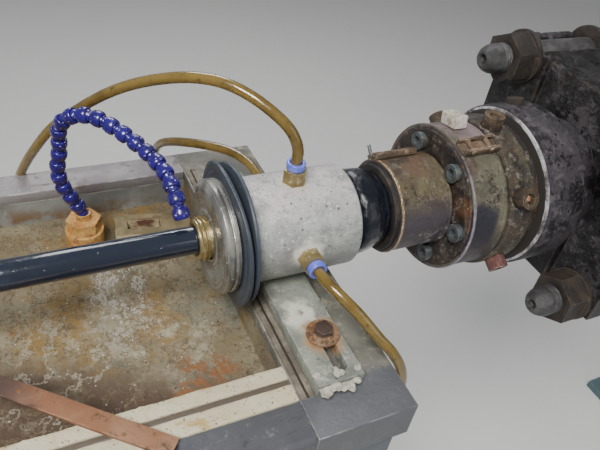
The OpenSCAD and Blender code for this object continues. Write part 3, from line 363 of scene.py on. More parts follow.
FINISHES = {
    "tank floor sheet": look("floor_steel", 0.6, 0.1,
        (blotch(8, 0.44, 0.6, 3), (0.285, 0.25, 0.165), 0.68),
        (blotch(15, 0.49, 0.61, 12, 0.8), (0.25, 0.16, 0.055), 0.7),
        (blotch(13, 0.51, 0.63, 71, 0.8), (0.155, 0.155, 0.115), 0.6),
        (blotch(30, 0.52, 0.64, 21, 0.85), (0.095, 0.07, 0.038), 0.75),
        (blotch(20, 0.58, 0.68, 33, 0.8), "rust", 0.8),
        (halo((-1.45, -0.03, FLOOR_Z), 0.18, 0.14, 14) + blotch(30, 0.49, 0.62, 7, 0.8),
         (0.38, 0.35, 0.255), 0.8),
        (slope((-0.4, -1, 0), 0.6, 0.655, 0.09, 12) + blotch(22, 0.32, 0.52, 51), (0.088, 0.056, 0.036),
         0.7),
        (halo((-1.392, -0.075, FLOOR_Z), 0.065, 0.05, 30) + veins(22, 0.05, 41, 0.75),
         (0.26, 0.115, 0.045), 0.85),
        (halo((-1.345, 0.01, FLOOR_Z), 0.075, 0.06, 22) + blotch(18, 0.4, 0.58, 71),
         (0.17, 0.175, 0.135), 0.6),
        (halo((-1.44, 0.055, FLOOR_Z), 0.075, 0.05, 30, (1.5, 0.6, 1)) +
         veins(34, 0.022, 25, 0.8, (1, 0.5, 1)), (0.5, 0.48, 0.45), 0.45),
        (veins(10, 0.012, 5, 0.8), (0.15, 0.11, 0.062), 0.8),
        (halo((-1.5, -0.02, FLOOR_Z), 0.13, 0.1, 20) + veins(15, 0.015, 9, 0.7),
         (0.33, 0.3, 0.23), 0.8),
        (blotch(70, 0.52, 0.7, 14, 0.85), (0.125, 0.098, 0.06), 0.75),
        (specks(260, 0.28, 1), "limescale", 0.85, None, 0.0001),
        (specks(170, 0.27, 6), (0.05, 0.035, 0.02), 0.7),
        grit(0.001, 90, 0, 0.85),
        grit(0.002, 16, 2)),
    "frame steel": look("frame_steel", 0.42, 0.35,
        (blotch(10, 0.4, 0.62, 2), (0.115, 0.118, 0.132), 0.5),
        (blotch(30, 0.53, 0.66, 5, 0.8, (0.3, 1, 1)), (0.045, 0.045, 0.052), 0.6),
        (blotch(45, 0.6, 0.68, 11, 0.6, (0.12, 1, 1)), (0.2, 0.2, 0.205), 0.4),
        (blotch(60, 0.58, 0.68, 14, 0.85), (0.27, 0.26, 0.235), 0.8, 0.0),
        (blotch(22, 0.63, 0.72, 9, 0.75), "rust", 0.8, 0.0),
        (halo((0, -0.125, 0), 0.0042, 0.0015, 90, (0, 1, 0)), (0.1, 0.078, 0.058), 0.8, 0.0),
        (wear(0.002, 70), (0.38, 0.38, 0.38), 0.38, 0.6),
        grit(0.00012, 260, 0, 0.7),
        grit(0.0007, 20, 4)),
    "inlet steel": look((0.19, 0.185, 0.155), 0.6, 0.2,
        (blotch(14, 0.42, 0.6, 6), (0.12, 0.115, 0.1), 0.6),
        (blotch(40, 0.5, 0.64, 15, 0.8), (0.34, 0.32, 0.25), 0.8, 0.0),
        (blotch(28, 0.58, 0.68, 3, 0.8), (0.17, 0.105, 0.05), 0.8, 0.0),
        (slope((0, -1, 0), 0.13, 0.142, 0.02), (0.105, 0.11, 0.122), 0.45),
        (wear(0.002, 70), (0.42, 0.41, 0.38), 0.4, 0.5),
        grit(0.0003, 150, 0, 0.8)),
    "galvanised sheet": look("zinc", 0.5, 0.3,
        (blotch(16, 0.4, 0.62, 4), (0.28, 0.295, 0.285), 0.6),
        (blotch(7, 0.48, 0.64, 8, 0.7), (0.155, 0.135, 0.105), 0.7),
        (blotch(50, 0.57, 0.68, 6, 0.8), "limescale", 0.85),
        (slope((0, 0, -1), -0.925, -0.905, 0.02, 30) + blotch(36, 0.4, 0.58, 2),
         (0.15, 0.09, 0.045), 0.8, 0.0),
        (wear(0.002, 50), (0.55, 0.55, 0.53), 0.4, 0.5),
        grit(0.00015, 180, 0, 0.8)),
    "ledge sheet": look((0.205, 0.185, 0.2), 0.55, 0.15,
        (blotch(11, 0.42, 0.6, 14), (0.29, 0.275, 0.285), 0.5, 0.3),
        (blotch(26, 0.53, 0.66, 3, 0.8), (0.12, 0.095, 0.08), 0.75, 0.0),
        (blotch(70, 0.58, 0.68, 8, 0.85), (0.4, 0.38, 0.35), 0.8, 0.0),
        (blotch(50, 0.58, 0.67, 6, 0.6, (0.12, 1, 1)), (0.1, 0.08, 0.075), 0.7),
        (wear(0.0025, 40, 1.4), (0.66, 0.66, 0.63), 0.42, 0.2),
        grit(0.00015, 150, 0, 0.7),
        grit(0.0008, 14, 5)),
    "stand paint": look("stand", 0.5, 0,
        (blotch(10, 0.45, 0.65, 2), ("stand", 0.06, (1, 1, 1)), 0.6),
        (wear(0.002, 60), (0.3, 0.3, 0.3), 0.45, 0.6),
        (blotch(34, 0.62, 0.7, 8, 0.8), "rust", 0.8),
        (blotch(24, 0.58, 0.68, 12, 0.6, (1, 1, 0.15)), (0.16, 0.12, 0.08), 0.8),
        (slope((0, 0, -1), -0.16, -0.02, 0.12, 20) + blotch(60, 0.4, 0.6), (0.24, 0.22, 0.18), 0.85),
        grit(0.00005, 400)),
    "cream sponge": look("cream", 0.85, 0,
        (blotch(24, 0.4, 0.6, 2), (0.64, 0.58, 0.42), 0.9),
        (blotch(34, 0.53, 0.64, 15, 0.7, (0.5, 1, 1)), (0.47, 0.32, 0.1), 0.85),
        (blotch(60, 0.54, 0.68, 5, 0.8, (0.3, 1, 1)), (0.25, 0.2, 0.125), 0.9),
        (specks(420, 0.45, 4), (0.2, 0.165, 0.105), 0.9, None, -0.0003),
        grit(0.0005, 260, 0, 0.8)),
    "grey sponge": look("old_rubber", 0.8, 0,
        (blotch(40, 0.42, 0.6, 2), (0.25, 0.215, 0.165), 0.85),
        (blotch(70, 0.54, 0.66, 9, 0.8), (0.07, 0.058, 0.045), 0.75),
        (halo((-1.33, 0, 0), 0.0016, 0.0008, 200, (1, 0, 0)),
         (0.035, 0.028, 0.022), 0.8, None, -0.0012),
        grit(0.0005, 220, 0, 0.8)),
    "jacket aluminium": look("jacket", 0.42, 0.25,
        (blotch(16, 0.42, 0.6, 1), (0.37, 0.385, 0.375), 0.45),
        (blotch(60, 0.46, 0.6, 16, 0.85), (0.28, 0.285, 0.275), 0.5),
        # painted reflection: lighter pink patches on the jacket's faces that point up
        (facing((0, 0, 1), 0.5, 1.0) + blotch(50, 0.36, 0.56, 29), (0.56, 0.51, 0.53), 0.4),
        (blotch(200, 0.52, 0.62, 6, 0.9), (0.22, 0.22, 0.195), 0.55),
        (specks(300, 0.5, 2), (0.62, 0.62, 0.59), 0.6, None, 0.00015),
        (blotch(85, 0.54, 0.62, 37, 0.88), (0.56, 0.57, 0.54), 0.6),
        (specks(190, 0.36, 9), (0.15, 0.14, 0.12), 0.6, None, -0.00015),
        (blotch(44, 0.6, 0.7, 11, 0.8), (0.3, 0.29, 0.15), 0.6),
        # painted shade: darker grey patches on the jacket's faces that point down and to the front
        (facing((0, -0.6, -0.8), 0.2, 0.9) + blotch(40, 0.36, 0.56, 23), (0.26, 0.265, 0.25), 0.5),
        (halo((MOUTH_X - 0.054, -0.047, AXIS_Z), 0.03, 0.022, 80),
         (0.66, 0.66, 0.6), 0.85, 0.0, 0.0003),
        (halo((MOUTH_X - 0.054, 0, AXIS_Z + 0.048), 0.024, 0.018, 80), (0.52, 0.49, 0.38), 0.85, 0.0,
         0.0003),
        grit(0.00022, 420, 0, 0.85)),
    "dull brass": look("brass", 0.32, 0.85,
        (blotch(90, 0.4, 0.62, 1), (0.27, 0.2, 0.085), 0.45, 0.7),
        (blotch(140, 0.53, 0.66, 5, 0.8), (0.55, 0.52, 0.4), 0.8, 0.0),
        (blotch(170, 0.6, 0.7, 8, 0.8), (0.11, 0.085, 0.05), 0.7, 0.0),
        (wear(0.0008, 200, 1.2), (0.75, 0.64, 0.38), 0.25, 0.9)),
    "turned steel": look("turned_steel", 0.3, 0.85,
        (turned(500, 0.42, 0.6), (0.46, 0.46, 0.45), 0.24, None, 0.00005),
        (blotch(30, 0.44, 0.62, 3), (0.25, 0.25, 0.225), 0.5, 0.4),
        (blotch(60, 0.56, 0.68, 8, 0.8), (0.12, 0.11, 0.09), 0.6, 0.3),
        (blotch(120, 0.58, 0.68, 28, 0.8), (0.5, 0.48, 0.42), 0.8, 0.0),
        (specks(420, 0.35, 2), (0.55, 0.53, 0.48), 0.8, 0.0),
        (wear(0.0012, 120, 1.3), (0.85, 0.84, 0.8), 0.22, 0.95)),
    "disc rubber": look("rubber", 0.42, 0,
        (blotch(30, 0.42, 0.62, 1), (0.036, 0.046, 0.062), 0.5),
        (turned(420, 0.47, 0.62, 2), (0.052, 0.064, 0.084), 0.5, None, 0.00012),
        (blotch(110, 0.56, 0.7, 8, 0.8), (0.13, 0.15, 0.17), 0.75),
        (wear(0.0016, 60), (0.15, 0.18, 0.22), 0.45),
        grit(0.00008, 300)),
    "limed foot plate": look("foot", 0.6, 0.1,
        (blotch(22, 0.42, 0.6, 2), (0.17, 0.185, 0.165), 0.55),
        (blotch(60, 0.5, 0.62, 6, 0.85), (0.4, 0.41, 0.35), 0.8, None, 0.0002),
        (blotch(130, 0.58, 0.68, 9, 0.8), (0.085, 0.08, 0.07), 0.7),
        *(coat for side in (-1, 1) for coat in (
            (halo((-1.306, 0.072 * side, FOOT_Z), 0.026, 0.02, 90, (0.9, 0.7, 1)),
             (0.6, 0.6, 0.52), 0.9, 0.0, 0.0005),
            (halo((-1.297, 0.1 * side, FOOT_Z), 0.036, 0.024, 90), (0.34, 0.225, 0.12), 0.85, 0.0),
            (halo((-1.298, 0.101 * side, FOOT_Z), 0.027, 0.022, 120), (0.2, 0.085, 0.032), 0.85, 0.0,
             0.0003),
        )),
        (wear(0.0015, 90), (0.62, 0.62, 0.57), 0.5, 0.3),
        grit(0.0004, 200, 0, 0.8)),
    "dried lime": look((0.55, 0.54, 0.47), 0.9, 0,
        (blotch(160, 0.45, 0.6, 2, 0.8), (0.32, 0.29, 0.22), 0.9),
        (blotch(260, 0.56, 0.66, 5, 0.8), (0.12, 0.09, 0.06), 0.9),
        grit(0.0004, 500, 0, 0.8)),
    "rusty iron": look("rust", 0.8, 0,
        (blotch(70, 0.4, 0.58, 2), (0.3, 0.19, 0.11), 0.85),
        (blotch(130, 0.48, 0.62, 7, 0.8), "dark_rust", 0.75),
        (slope((0, 0, 1), 0.9575, 0.96, 0.002, 200), (0.055, 0.035, 0.026), 0.6),
        (blotch(150, 0.6, 0.68, 17), (0.42, 0.15, 0.045), 0.8),
        (wear(0.001, 160), (0.34, 0.26, 0.2), 0.55, 0.3),
        grit(0.0005, 320, 0, 0.8)),
    "flat rust": look((0.235, 0.105, 0.052), 0.7, 0,
        (blotch(28, 0.4, 0.6, 5), (0.29, 0.155, 0.09), 0.75),
        (blotch(80, 0.52, 0.66, 7, 0.8), "dark_rust", 0.7),
        (slope((-1, 0, 0), 1.515, 1.555, 0.03, 40), (0.075, 0.045, 0.038), 0.65),
        (wear(0.0012, 120, 1.3), (0.45, 0.3, 0.2), 0.55, 0.2),
        grit(0.00035, 240, 0, 0.8)),
    "collar plastic": look("collar", 0.28, 0,
        (blotch(150, 0.5, 0.66, 2, 0.8), (0.211, 0.266, 0.66), 0.6),
        (blotch(220, 0.62, 0.7, 6, 0.8), (0.0806, 0.077, 0.09), 0.7),
        Coat_Weight=0.3, Coat_Roughness=0.1),
    "amber hose": look("amber", 0.14, 0,
        (blotch(16, 0.42, 0.62, 2), (0.155, 0.1, 0.022), 0.2),
        (blotch(60, 0.52, 0.68, 12, 0.8), (0.1, 0.065, 0.018), 0.3),
        (blotch(90, 0.6, 0.73, 5, 0.8), (0.42, 0.31, 0.13), 0.4),
        bump(0.0002, 90, 0.2, 0.8, 3),
        Transmission_Weight=0.35, IOR=1.42, Coat_Weight=0.8, Coat_Roughness=0.05),
    "wet black pipe": look("pipe", 0.14, 0,
        (blotch(40, 0.5, 0.7, 2, 0.6, (0.3, 1, 1)), (0.026, 0.034, 0.054), 0.26),
        (specks(240, 0.3, 6), (0.05, 0.06, 0.075), 0.1, None, 0.00018),
        (blotch(60, 0.62, 0.72, 4, 0.6, (0.1, 1, 1)), (0.09, 0.11, 0.14), 0.24),
        bump(0.0003, 70, 0.2, 0.8, 0, 0.6, (0.4, 1, 1)),
        Coat_Weight=0.8, Coat_Roughness=0.05),
    "soft black plastic": look(("pipe", 0.6, (0, 0, 0)), 0.07, 0,
        (blotch(60, 0.55, 0.75, 3), (0.014, 0.019, 0.03), 0.14),
        bump(0.0022, 75, 0.2, 0.8, 4, 0.55),
        Specular_IOR_Level=0.35, Coat_Weight=0.35, Coat_Roughness=0.03),
    "link plastic": look("links", 0.26, 0,
        (blotch(60, 0.45, 0.65, 2), ("links", 0.45, (0, 0, 0)), 0.34),
        (blotch(200, 0.56, 0.68, 5, 0.85), (0.27, 0.25, 0.55), 0.65, None, 0.00008),
        (specks(420, 0.36, 3), (0.5, 0.49, 0.66), 0.75),
        Coat_Weight=0.5, Coat_Roughness=0.1),
    "orange bronze": look("bronze", 0.5, 0.35,
        (blotch(60, 0.42, 0.6, 2), (0.62, 0.38, 0.13), 0.65, 0.1),
        (blotch(100, 0.49, 0.62, 5, 0.8), (0.26, 0.095, 0.025), 0.7, 0.0),
        (blotch(150, 0.56, 0.68, 8, 0.8), (0.66, 0.55, 0.36), 0.85, 0.0, 0.0003),
        (blotch(120, 0.62, 0.7, 18, 0.8), (0.09, 0.045, 0.022), 0.8, 0.0),
        grit(0.0005, 260, 0, 0.8)),
    "box brass": look((0.13, 0.098, 0.043), 0.5, 0.35,
        (blotch(50, 0.42, 0.6, 2), (0.185, 0.145, 0.072), 0.7, 0.0),
        # painted highlight: the drain box's face that points to the front is painted a paler brass than
        # the rest
        (facing((0, -1, 0), 0.5, 0.8), (0.36, 0.295, 0.17), 0.7, 0.0),
        (halo((-1.398, 0.127, 0.918), 0.03, 0.026, 110, (0.75, 1.5, 1)),
         (0.085, 0.038, 0.022), 0.85, 0.0),
        (blotch(90, 0.58, 0.68, 12, 0.8), (0.13, 0.065, 0.032), 0.8, 0.0),
        (wear(0.0015, 120), (0.62, 0.52, 0.3), 0.35, 0.6),
        grit(0.0003, 240, 0, 0.8)),
    "die steel": hot_steel("die",
        [(0.13, "olive"), (0.13, (0.03, 0.027, 0.03)), (0.11, (0.1, 0.062, 0.038)),
         (0.06, (0.19, 0.088, 0.036))],
        (wear(0.0012, 110), (0.36, 0.33, 0.29), 0.32, 0.85)),
    # near-black die bush: real grease, with painted shade darkening it further
    "burnt bush": look((0.018, 0.016, 0.017), 0.4, 0.2,
        (blotch(60, 0.5, 0.64, 3, 0.8), (0.075, 0.058, 0.042), 0.5, 0.4),
        (blotch(120, 0.6, 0.7, 7, 0.8), (0.15, 0.13, 0.1), 0.5, 0.5),
        (wear(0.001, 140), (0.3, 0.26, 0.21), 0.3, 0.9),
        grit(0.0006, 150, 0, 0.85)),
    "rusted ring": hot_steel((0.05, 0.038, 0.032),
        [(0.1, (0.15, 0.066, 0.028)), (0.14, (0.024, 0.021, 0.025)), (0.08, (0.095, 0.078, 0.062)),
         (0.05, (0.24, 0.1, 0.04))],
        (wear(0.0016, 80, 1.2), (0.4, 0.36, 0.36), 0.3, 0.85)),
    "lip skin": hot_steel((0.115, 0.092, 0.058),
        [(0.14, (0.155, 0.135, 0.072)), (0.12, (0.06, 0.038, 0.026)), (0.08, (0.2, 0.1, 0.05))],
        # painted shade: darker grey-mauve on the lower front of the lip heater band
        (facing((0, -0.45, -0.9), -0.45, 0.25), (0.075, 0.064, 0.074), 0.4, 0.3),
        (facing((0, 0.3, 1), 0.72, 0.98) + blotch(40, 0.4, 0.58, 31), (0.165, 0.1, 0.062), 0.4, 0.5),
        (halo((LIP_X + 0.043, -0.046, 0.985), 0.034, 0.024, 60) + blotch(90, 0.5, 0.6, 13, 0.85),
         (0.5, 0.42, 0.42), 0.75, 0.0, 0.0004),
        (halo((LIP_X + 0.0016, 0, 0), 0.0021, 0.001, 160, (1, 0, 0)), (0.58, 0.43, 0.27), 0.25, 0.9),
        (wear(0.001, 120), (0.46, 0.36, 0.26), 0.3, 0.85)),
    "band skin": hot_steel((0.118, 0.112, 0.082),
        [(0.15, (0.15, 0.15, 0.098)), (0.12, (0.072, 0.056, 0.052)), (0.08, (0.165, 0.115, 0.075)),
         (0.03, "rust")],
        # painted reflection: lighter pink-purple patches on the band's faces that point up
        (facing((-0.2, 0.25, 1), 0.8, 1.0) + blotch(34, 0.36, 0.54, 31), (0.27, 0.2, 0.215), 0.4, 0.4),
        (halo((BAND_X + 0.009, -0.078, 1.012), 0.043, 0.018, 70, (1.2, 1, 1)),
         (0.036, 0.034, 0.05), 0.36, 0.4),
        # painted shade: darker colour on the band's faces that point down
        (facing((0, -0.35, -0.94), 0.1, 0.75), (0.045, 0.038, 0.046), 0.4, 0.3),
        # painted highlight: a thin lavender line along the band's front edge, only on the side that
        # faces the front
        (halo((BAND_X + 0.0012, 0, 0), 0.002, 0.001, 160, (1, 0, 0)) +
         facing((-0.3, -0.9, -0.3), 0.15, 0.8), (0.36, 0.32, 0.38), 0.3, 0.85),
        (wear(0.001, 120), (0.5, 0.45, 0.38), 0.3, 0.85)),
    "heater skin": hot_steel("heater",
        [(0.15, (0.17, 0.155, 0.1)), (0.12, (0.055, 0.045, 0.045)), (0.05, "rust")],
        (wear(0.001, 120), (0.5, 0.45, 0.38), 0.3, 0.85)),
    "closure steel": hot_steel((0.14, 0.098, 0.066),
        [(0.14, (0.24, 0.155, 0.1)), (0.1, (0.05, 0.04, 0.036))],
        (wear(0.0015, 120, 1.3), (0.62, 0.47, 0.34), 0.28, 0.85)),
    "brown bolts": hot_steel((0.08, 0.056, 0.036),
        [(0.14, (0.125, 0.085, 0.05)), (0.1, (0.04, 0.03, 0.025))],
        (halo((-1.084, -0.073, 0.958), 0.034, 0.002), (0.18, 0.082, 0.074), 0.4, 0.5),
        (wear(0.0015, 100, 1.2), (0.38, 0.3, 0.22), 0.3, 0.85)),
    "worn copper": look("copper", 0.3, 0.9,
        (blotch(240, 0.45, 0.62, 2, 0.8), (0.22, 0.1, 0.05), 0.5, 0.6),
        (specks(700, 0.4, 4), (0.75, 0.68, 0.6), 0.25)),
    "screw zinc": look("screw", 0.34, 0.6,
        (blotch(130, 0.42, 0.6, 2), (0.055, 0.055, 0.055), 0.45, 0.3),
        (blotch(180, 0.55, 0.66, 6, 0.8), (0.19, 0.115, 0.062), 0.7, 0.0),
        (wear(0.0009, 200), (0.5, 0.56, 0.6), 0.25, 0.9),
        grit(0.0002, 300, 0, 0.8)),
    "white ceramic": look("ceramic", 0.3, 0,
        (blotch(90, 0.45, 0.6, 2, 0.8), (0.33, 0.27, 0.19), 0.55),
        (blotch(160, 0.56, 0.66, 7, 0.8), (0.09, 0.07, 0.05), 0.6),
        Coat_Weight=0.3, Coat_Roughness=0.1),
    "fibre gasket": look("gasket", 0.75, 0,
        (blotch(45, 0.42, 0.58, 2, 0.8), (0.075, 0.068, 0.066), 0.6),
        (blotch(110, 0.55, 0.65, 5, 0.8), (0.03, 0.027, 0.026), 0.5),
        # painted shade: all of the gasket inside its outer rim is darkened, leaving only a thin pale
        # line at the rim
        (halo((0, 0, AXIS_Z), 0.0832, 0.0024, 90, (0, 1, 1), 0.99), (0.03, 0.026, 0.024), 0.5)),
    "greasy adapter": look((0.036, 0.033, 0.04), 0.42, 0.2,
        (blotch(20, 0.42, 0.6, 3), (0.06, 0.053, 0.062), 0.5),
        (blotch(34, 0.49, 0.55, 8, 0.85), (0.009, 0.008, 0.009), 0.3),
        (blotch(70, 0.53, 0.58, 18, 0.85), (0.105, 0.092, 0.108), 0.6),
        (blotch(36, 0.6, 0.7, 14, 0.8), (0.095, 0.062, 0.038), 0.7),
        (specks(180, 0.42, 7), (0.007, 0.007, 0.007), 0.2, None, -0.0008),
        (wear(0.0018, 80), (0.26, 0.23, 0.21), 0.38, 0.6),
        grit(0.0009, 110, 6, 0.85)),
    "black grease": look("grease", 0.36, 0.1,
        (blotch(13, 0.44, 0.6, 3), (0.03, 0.027, 0.03), 0.5),
        (blotch(20, 0.5, 0.56, 8, 0.85), (0.092, 0.08, 0.092), 0.62),
        (blotch(34, 0.5, 0.54, 19, 0.85), (0.007, 0.006, 0.007), 0.3),
        (blotch(26, 0.6, 0.68, 13, 0.8), (0.075, 0.046, 0.026), 0.7),
        (blotch(80, 0.54, 0.62, 5, 0.85), (0.006, 0.006, 0.006), 0.16),
        (specks(140, 0.34, 3), (0.15, 0.14, 0.145), 0.6),
        (wear(0.004, 50, 1.2), (0.2, 0.165, 0.13), 0.45, 0.3),
        bump(0.0045, 30, 0.44, 0.6, 6, 0.8),
        bump(0.0018, 90, 0.44, 0.58, 2, 0.85)),
    "stud steel": look("stud", 0.4, 0.4,
        (blotch(60, 0.42, 0.6, 2), (0.105, 0.102, 0.104), 0.5, 0.3),
        (blotch(80, 0.52, 0.64, 6, 0.8), (0.024, 0.022, 0.022), 0.35, 0.1),
        (blotch(70, 0.6, 0.7, 9, 0.8), (0.13, 0.075, 0.042), 0.75, 0.0),
        (wear(0.0015, 110), (0.36, 0.35, 0.35), 0.32, 0.7),
        grit(0.0007, 160, 0, 0.85)),
    "nut steel": look((0.026, 0.021, 0.018), 0.45, 0.3,
        (blotch(36, 0.44, 0.58, 11), (0.05, 0.034, 0.023), 0.65, 0.1),
        (blotch(70, 0.5, 0.62, 4, 0.8), (0.022, 0.02, 0.02), 0.35, 0.1),
        (blotch(90, 0.6, 0.68, 14, 0.8), (0.16, 0.085, 0.045), 0.7, 0.0),
        (wear(0.002, 80, 1.2), (0.15, 0.13, 0.115), 0.38, 0.7),
        grit(0.001, 120, 0, 0.85)),
    "barrel steel": hot_steel("barrel",
        [(0.14, (0.11, 0.1, 0.095)), (0.08, "dark_rust")],
        (wear(0.0015, 90), (0.35, 0.35, 0.35), 0.35, 0.8)),
    "machine paint": look("machine", 0.42, 0,
        (blotch(7, 0.42, 0.65, 1), ("machine", 0.04, (1, 1, 1)), 0.5),
        (wear(0.003, 40), (0.32, 0.31, 0.29), 0.45, 0.6),
        (blotch(24, 0.64, 0.71, 9, 0.8), (0.06, 0.045, 0.035), 0.7),
        (blotch(16, 0.58, 0.68, 4, 0.6, (1, 1, 0.12)), (0.035, 0.04, 0.04), 0.4),
        grit(0.00006, 300)),
    "Studio floor": look((0.74, 0.74, 0.72), 0.7, 0,
        (blotch(1.2, 0.3, 0.7), (0.71, 0.71, 0.70), 0.75)),
}


def colour_of(given):
    """The three values of a colour given in one of the finishes' three ways."""
    colours = bpy.context.scene.extruder_colours
    if isinstance(given, str):
        return tuple(getattr(colours, given))
    if isinstance(given[0], str):
        name, share, other = given
        return tuple(a + (b - a) * share for a, b in zip(getattr(colours, name), other))
    return given


def finish(name):
    """The named material, built the first time that it is asked for."""
    made = bpy.data.materials.get(name)
    if made:
        return made
    base, rough, metal, coats, shader = FINISHES[name]
    material = Coats(name, colour_of(base), rough, metal, shader)
    for masks, colour_given, *rest in coats:
        material.coat(masks, colour_given and colour_of(colour_given), *rest)
    return material.done()


# Mesh making

def soften(bm, width, angle=30.0, segments=2):
    """Round the edges that turn by more than the angle."""
    limit = math.radians(angle)
    edges = [e for e in bm.edges if len(e.link_faces) == 2 and e.calc_face_angle(0.0) > limit]
    if edges and width > 0:
        bmesh.ops.bevel(bm, geom=edges, offset=width, offset_type='OFFSET', segments=segments,
                        profile=0.5, affect='EDGES', clamp_overlap=True, material=-1)


def clean(bm):
    """Join the points that meet, and turn all faces outwards."""
    bmesh.ops.remove_doubles(bm, verts=bm.verts, dist=1e-6)
    bmesh.ops.recalc_face_normals(bm, faces=bm.faces)


def piece(name, bm, look_name, slot, *nodes, smooth=32.0):
    """Make the mesh an object that rides on the machine and stands for the nodes."""
    limit = math.radians(smooth)
    for face in bm.faces:
        face.smooth = True
    for edge in bm.edges:
        edge.smooth = len(edge.link_faces) == 2 and edge.calc_face_angle(0.0) < limit
    mesh = bpy.data.meshes.new(name)
    bm.to_mesh(mesh)
    bm.free()
    return mount(name, mesh, look_name, slot, *nodes)


def mount(name, data, look_name, slot, *nodes):
    """Put a mesh or curve in the scene, on the machine and in place of the nodes."""
    data.materials.append(finish(look_name))
    obj = bpy.data.objects.new(name, data)
    bpy.context.scene.collection.objects.link(obj)
    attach(obj, "root")
    if nodes:
        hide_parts(*nodes)
    return obj


def from_node(node):
    """A merged copy of a node's mesh, without the edges inside its flat faces."""
    bm = bmesh.new()
    bm.from_mesh(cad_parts[node].data)
    bmesh.ops.remove_doubles(bm, verts=bm.verts, dist=2e-6)
    bmesh.ops.dissolve_limit(bm, angle_limit=math.radians(0.5), verts=bm.verts,
                             edges=bm.edges, delimit={'NORMAL'})
    return bm


def dressed(node, look_name, slot, width=EDGE, angle=30.0, segments=2):
    """A node's own shape with rounded edges and a finish."""
    bm = from_node(node)
    soften(bm, width, angle, segments)
    piece(node + "_finished", bm, look_name, slot, node)


def extent(node):
    """Where a round node starts along X, its length and its radius."""
    low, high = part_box(node)
    return low.x, high.x - low.x, (high.z - low.z) / 2


def spin(bm, points, centre, axis, steps, closed=True):
    """Spin the line through the points about an axis, and return the first line's points."""
    verts = [bm.verts.new(point) for point in points]
    edges = [bm.edges.new(pair) for pair in zip(verts, verts[1:] + verts[:closed])]
    bmesh.ops.spin(bm, geom=verts + edges, cent=centre, axis=axis, angle=2 * math.pi,
                   steps=steps, use_merge=True, use_duplicate=False)
    return verts


def lathe(bm, profile, x0, steps, z0=AXIS_Z, y0=0.0, closed=True):
    """Spin a profile of (distance along X, radius) about an axis along X."""
    start = len(bm.verts)
    spin(bm, [(x0 + x, y0, z0 + r) for x, r in profile], (x0, y0, z0), (1, 0, 0), steps, closed)
    bm.verts.ensure_lookup_table()
    return bm.verts[start:]


def turned_piece(node, profile, look_name, slot, width=0.0005):
    """A node made again by turning, with fine rounded edges."""
    bm = bmesh.new()
    lathe(bm, profile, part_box(node)[0].x, bpy.context.scene.extruder_sizes.turns)
    clean(bm)
    soften(bm, width, 20.0)
    piece(node + "_finished", bm, look_name, slot, node)


def heater_band(node, look_name, bore, strip, dip, drop):
    """A turned heater band: a raised strip along both edges and a lower middle."""
    _, width, r = extent(node)
    side = [(0, bore), (0, r - MM), (MM, r), (strip, r), (dip, r - drop)]
    turned_piece(node, side + [(width - x, radius) for x, radius in reversed(side)],
                 look_name, "heater_skin", 0.0003)


def at_angle(degrees, radius, x):
    """A place on the pipe's axis: Z points outwards at the angle from the top, X along."""
    turn = Matrix.Rotation(math.radians(degrees), 4, 'X')
    return Matrix.Translation((x, 0, AXIS_Z)) @ turn @ Matrix.Translation((0, 0, radius))


def aimed(start, end):
    """A place at the start whose Z points to the end."""
    return Matrix.Translation(start) @ (end - start).to_track_quat('Z', 'X').to_matrix().to_4x4()


def add_block(bm, low, high, matrix):
    """A block between two corners, in the place that the matrix gives."""
    low, high = Vector(low), Vector(high)
    place = Matrix.Translation((low + high) / 2) @ Matrix.Diagonal((*(high - low), 1))
    bmesh.ops.create_cube(bm, size=1.0, matrix=matrix @ place)


def add_rod(bm, radius, z0, z1, matrix, segments, top=None):
    """A closed rod along Z of the matrix, with another radius at the top if asked."""
    bmesh.ops.create_cone(bm, cap_ends=True, cap_tris=False, segments=segments,
                          radius1=radius, radius2=radius if top is None else top, depth=z1 - z0,
                          matrix=matrix @ Matrix.Translation((0, 0, (z0 + z1) / 2)))


def add_thread(bm, start, radius, depth, pitch, turns, steps=64):
    """A helical ridge about an axis along X."""
    half = pitch * 0.42
    ridge = [(radius - depth, -half), (radius, -half / 4), (radius, half / 4), (radius - depth, half)]
    face = bm.faces.new([bm.verts.new(start + Vector((x, 0, -r))) for r, x in ridge])
    bmesh.ops.spin(bm, geom=[face], cent=start, axis=(1, 0, 0), dvec=(pitch / steps, 0, 0),
                   angle=2 * math.pi * turns, steps=int(steps * turns), use_merge=False,
                   use_duplicate=False)


def add_weld(bm, start, end, radius=0.0042, ripple=0.0022):
    """A rippled bead of weld between two points."""
    span = end - start
    rings = max(int(span.length / ripple), 4)
    line = [(radius * (1.0 if k % 2 else 0.86), 0, span.length * k / rings)
            for k in range(rings + 1)]
    line = [(0, 0, 0)] + line + [(0, 0, span.length)]
    place = aimed(start, end)
    todo = spin(bm, [place @ Vector(point) for point in line], start, span, 8, closed=False)
    bead = {vert for vert in todo if vert.is_valid}
    todo = list(bead)
    while todo:
        joined = {v for edge in todo.pop().link_edges for v in edge.verts} - bead
        bead |= joined
        todo += joined
    bmesh.ops.remove_doubles(bm, verts=list(bead), dist=1e-6)


# The camera, lights and floor

CAMERA_PLACE = (-1.5089, -0.3815, 1.3577)
CAMERA_TURNS = (-31.0, 39.27, 10.05)  # azimuth, elevation and roll, in degrees
CAMERA_LENS = 36.66

# Name, place, target, size in metres, power in watts and tint
LIGHTS = (
    ("Key light", (-2.2, -0.9, 2.7), (-1.35, 0.0, 0.98), 0.75, 74, (1.0, 0.98, 0.94)),
    ("Fill light", (0.3, -2.4, 2.2), (-0.9, 0.0, 0.9), 2.0, 17, (0.95, 0.97, 1.0)),
    ("Rim light", (-0.9, 2.2, 2.6), (-1.1, 0.0, 0.95), 1.2, 34, (0.97, 0.98, 1.0)))


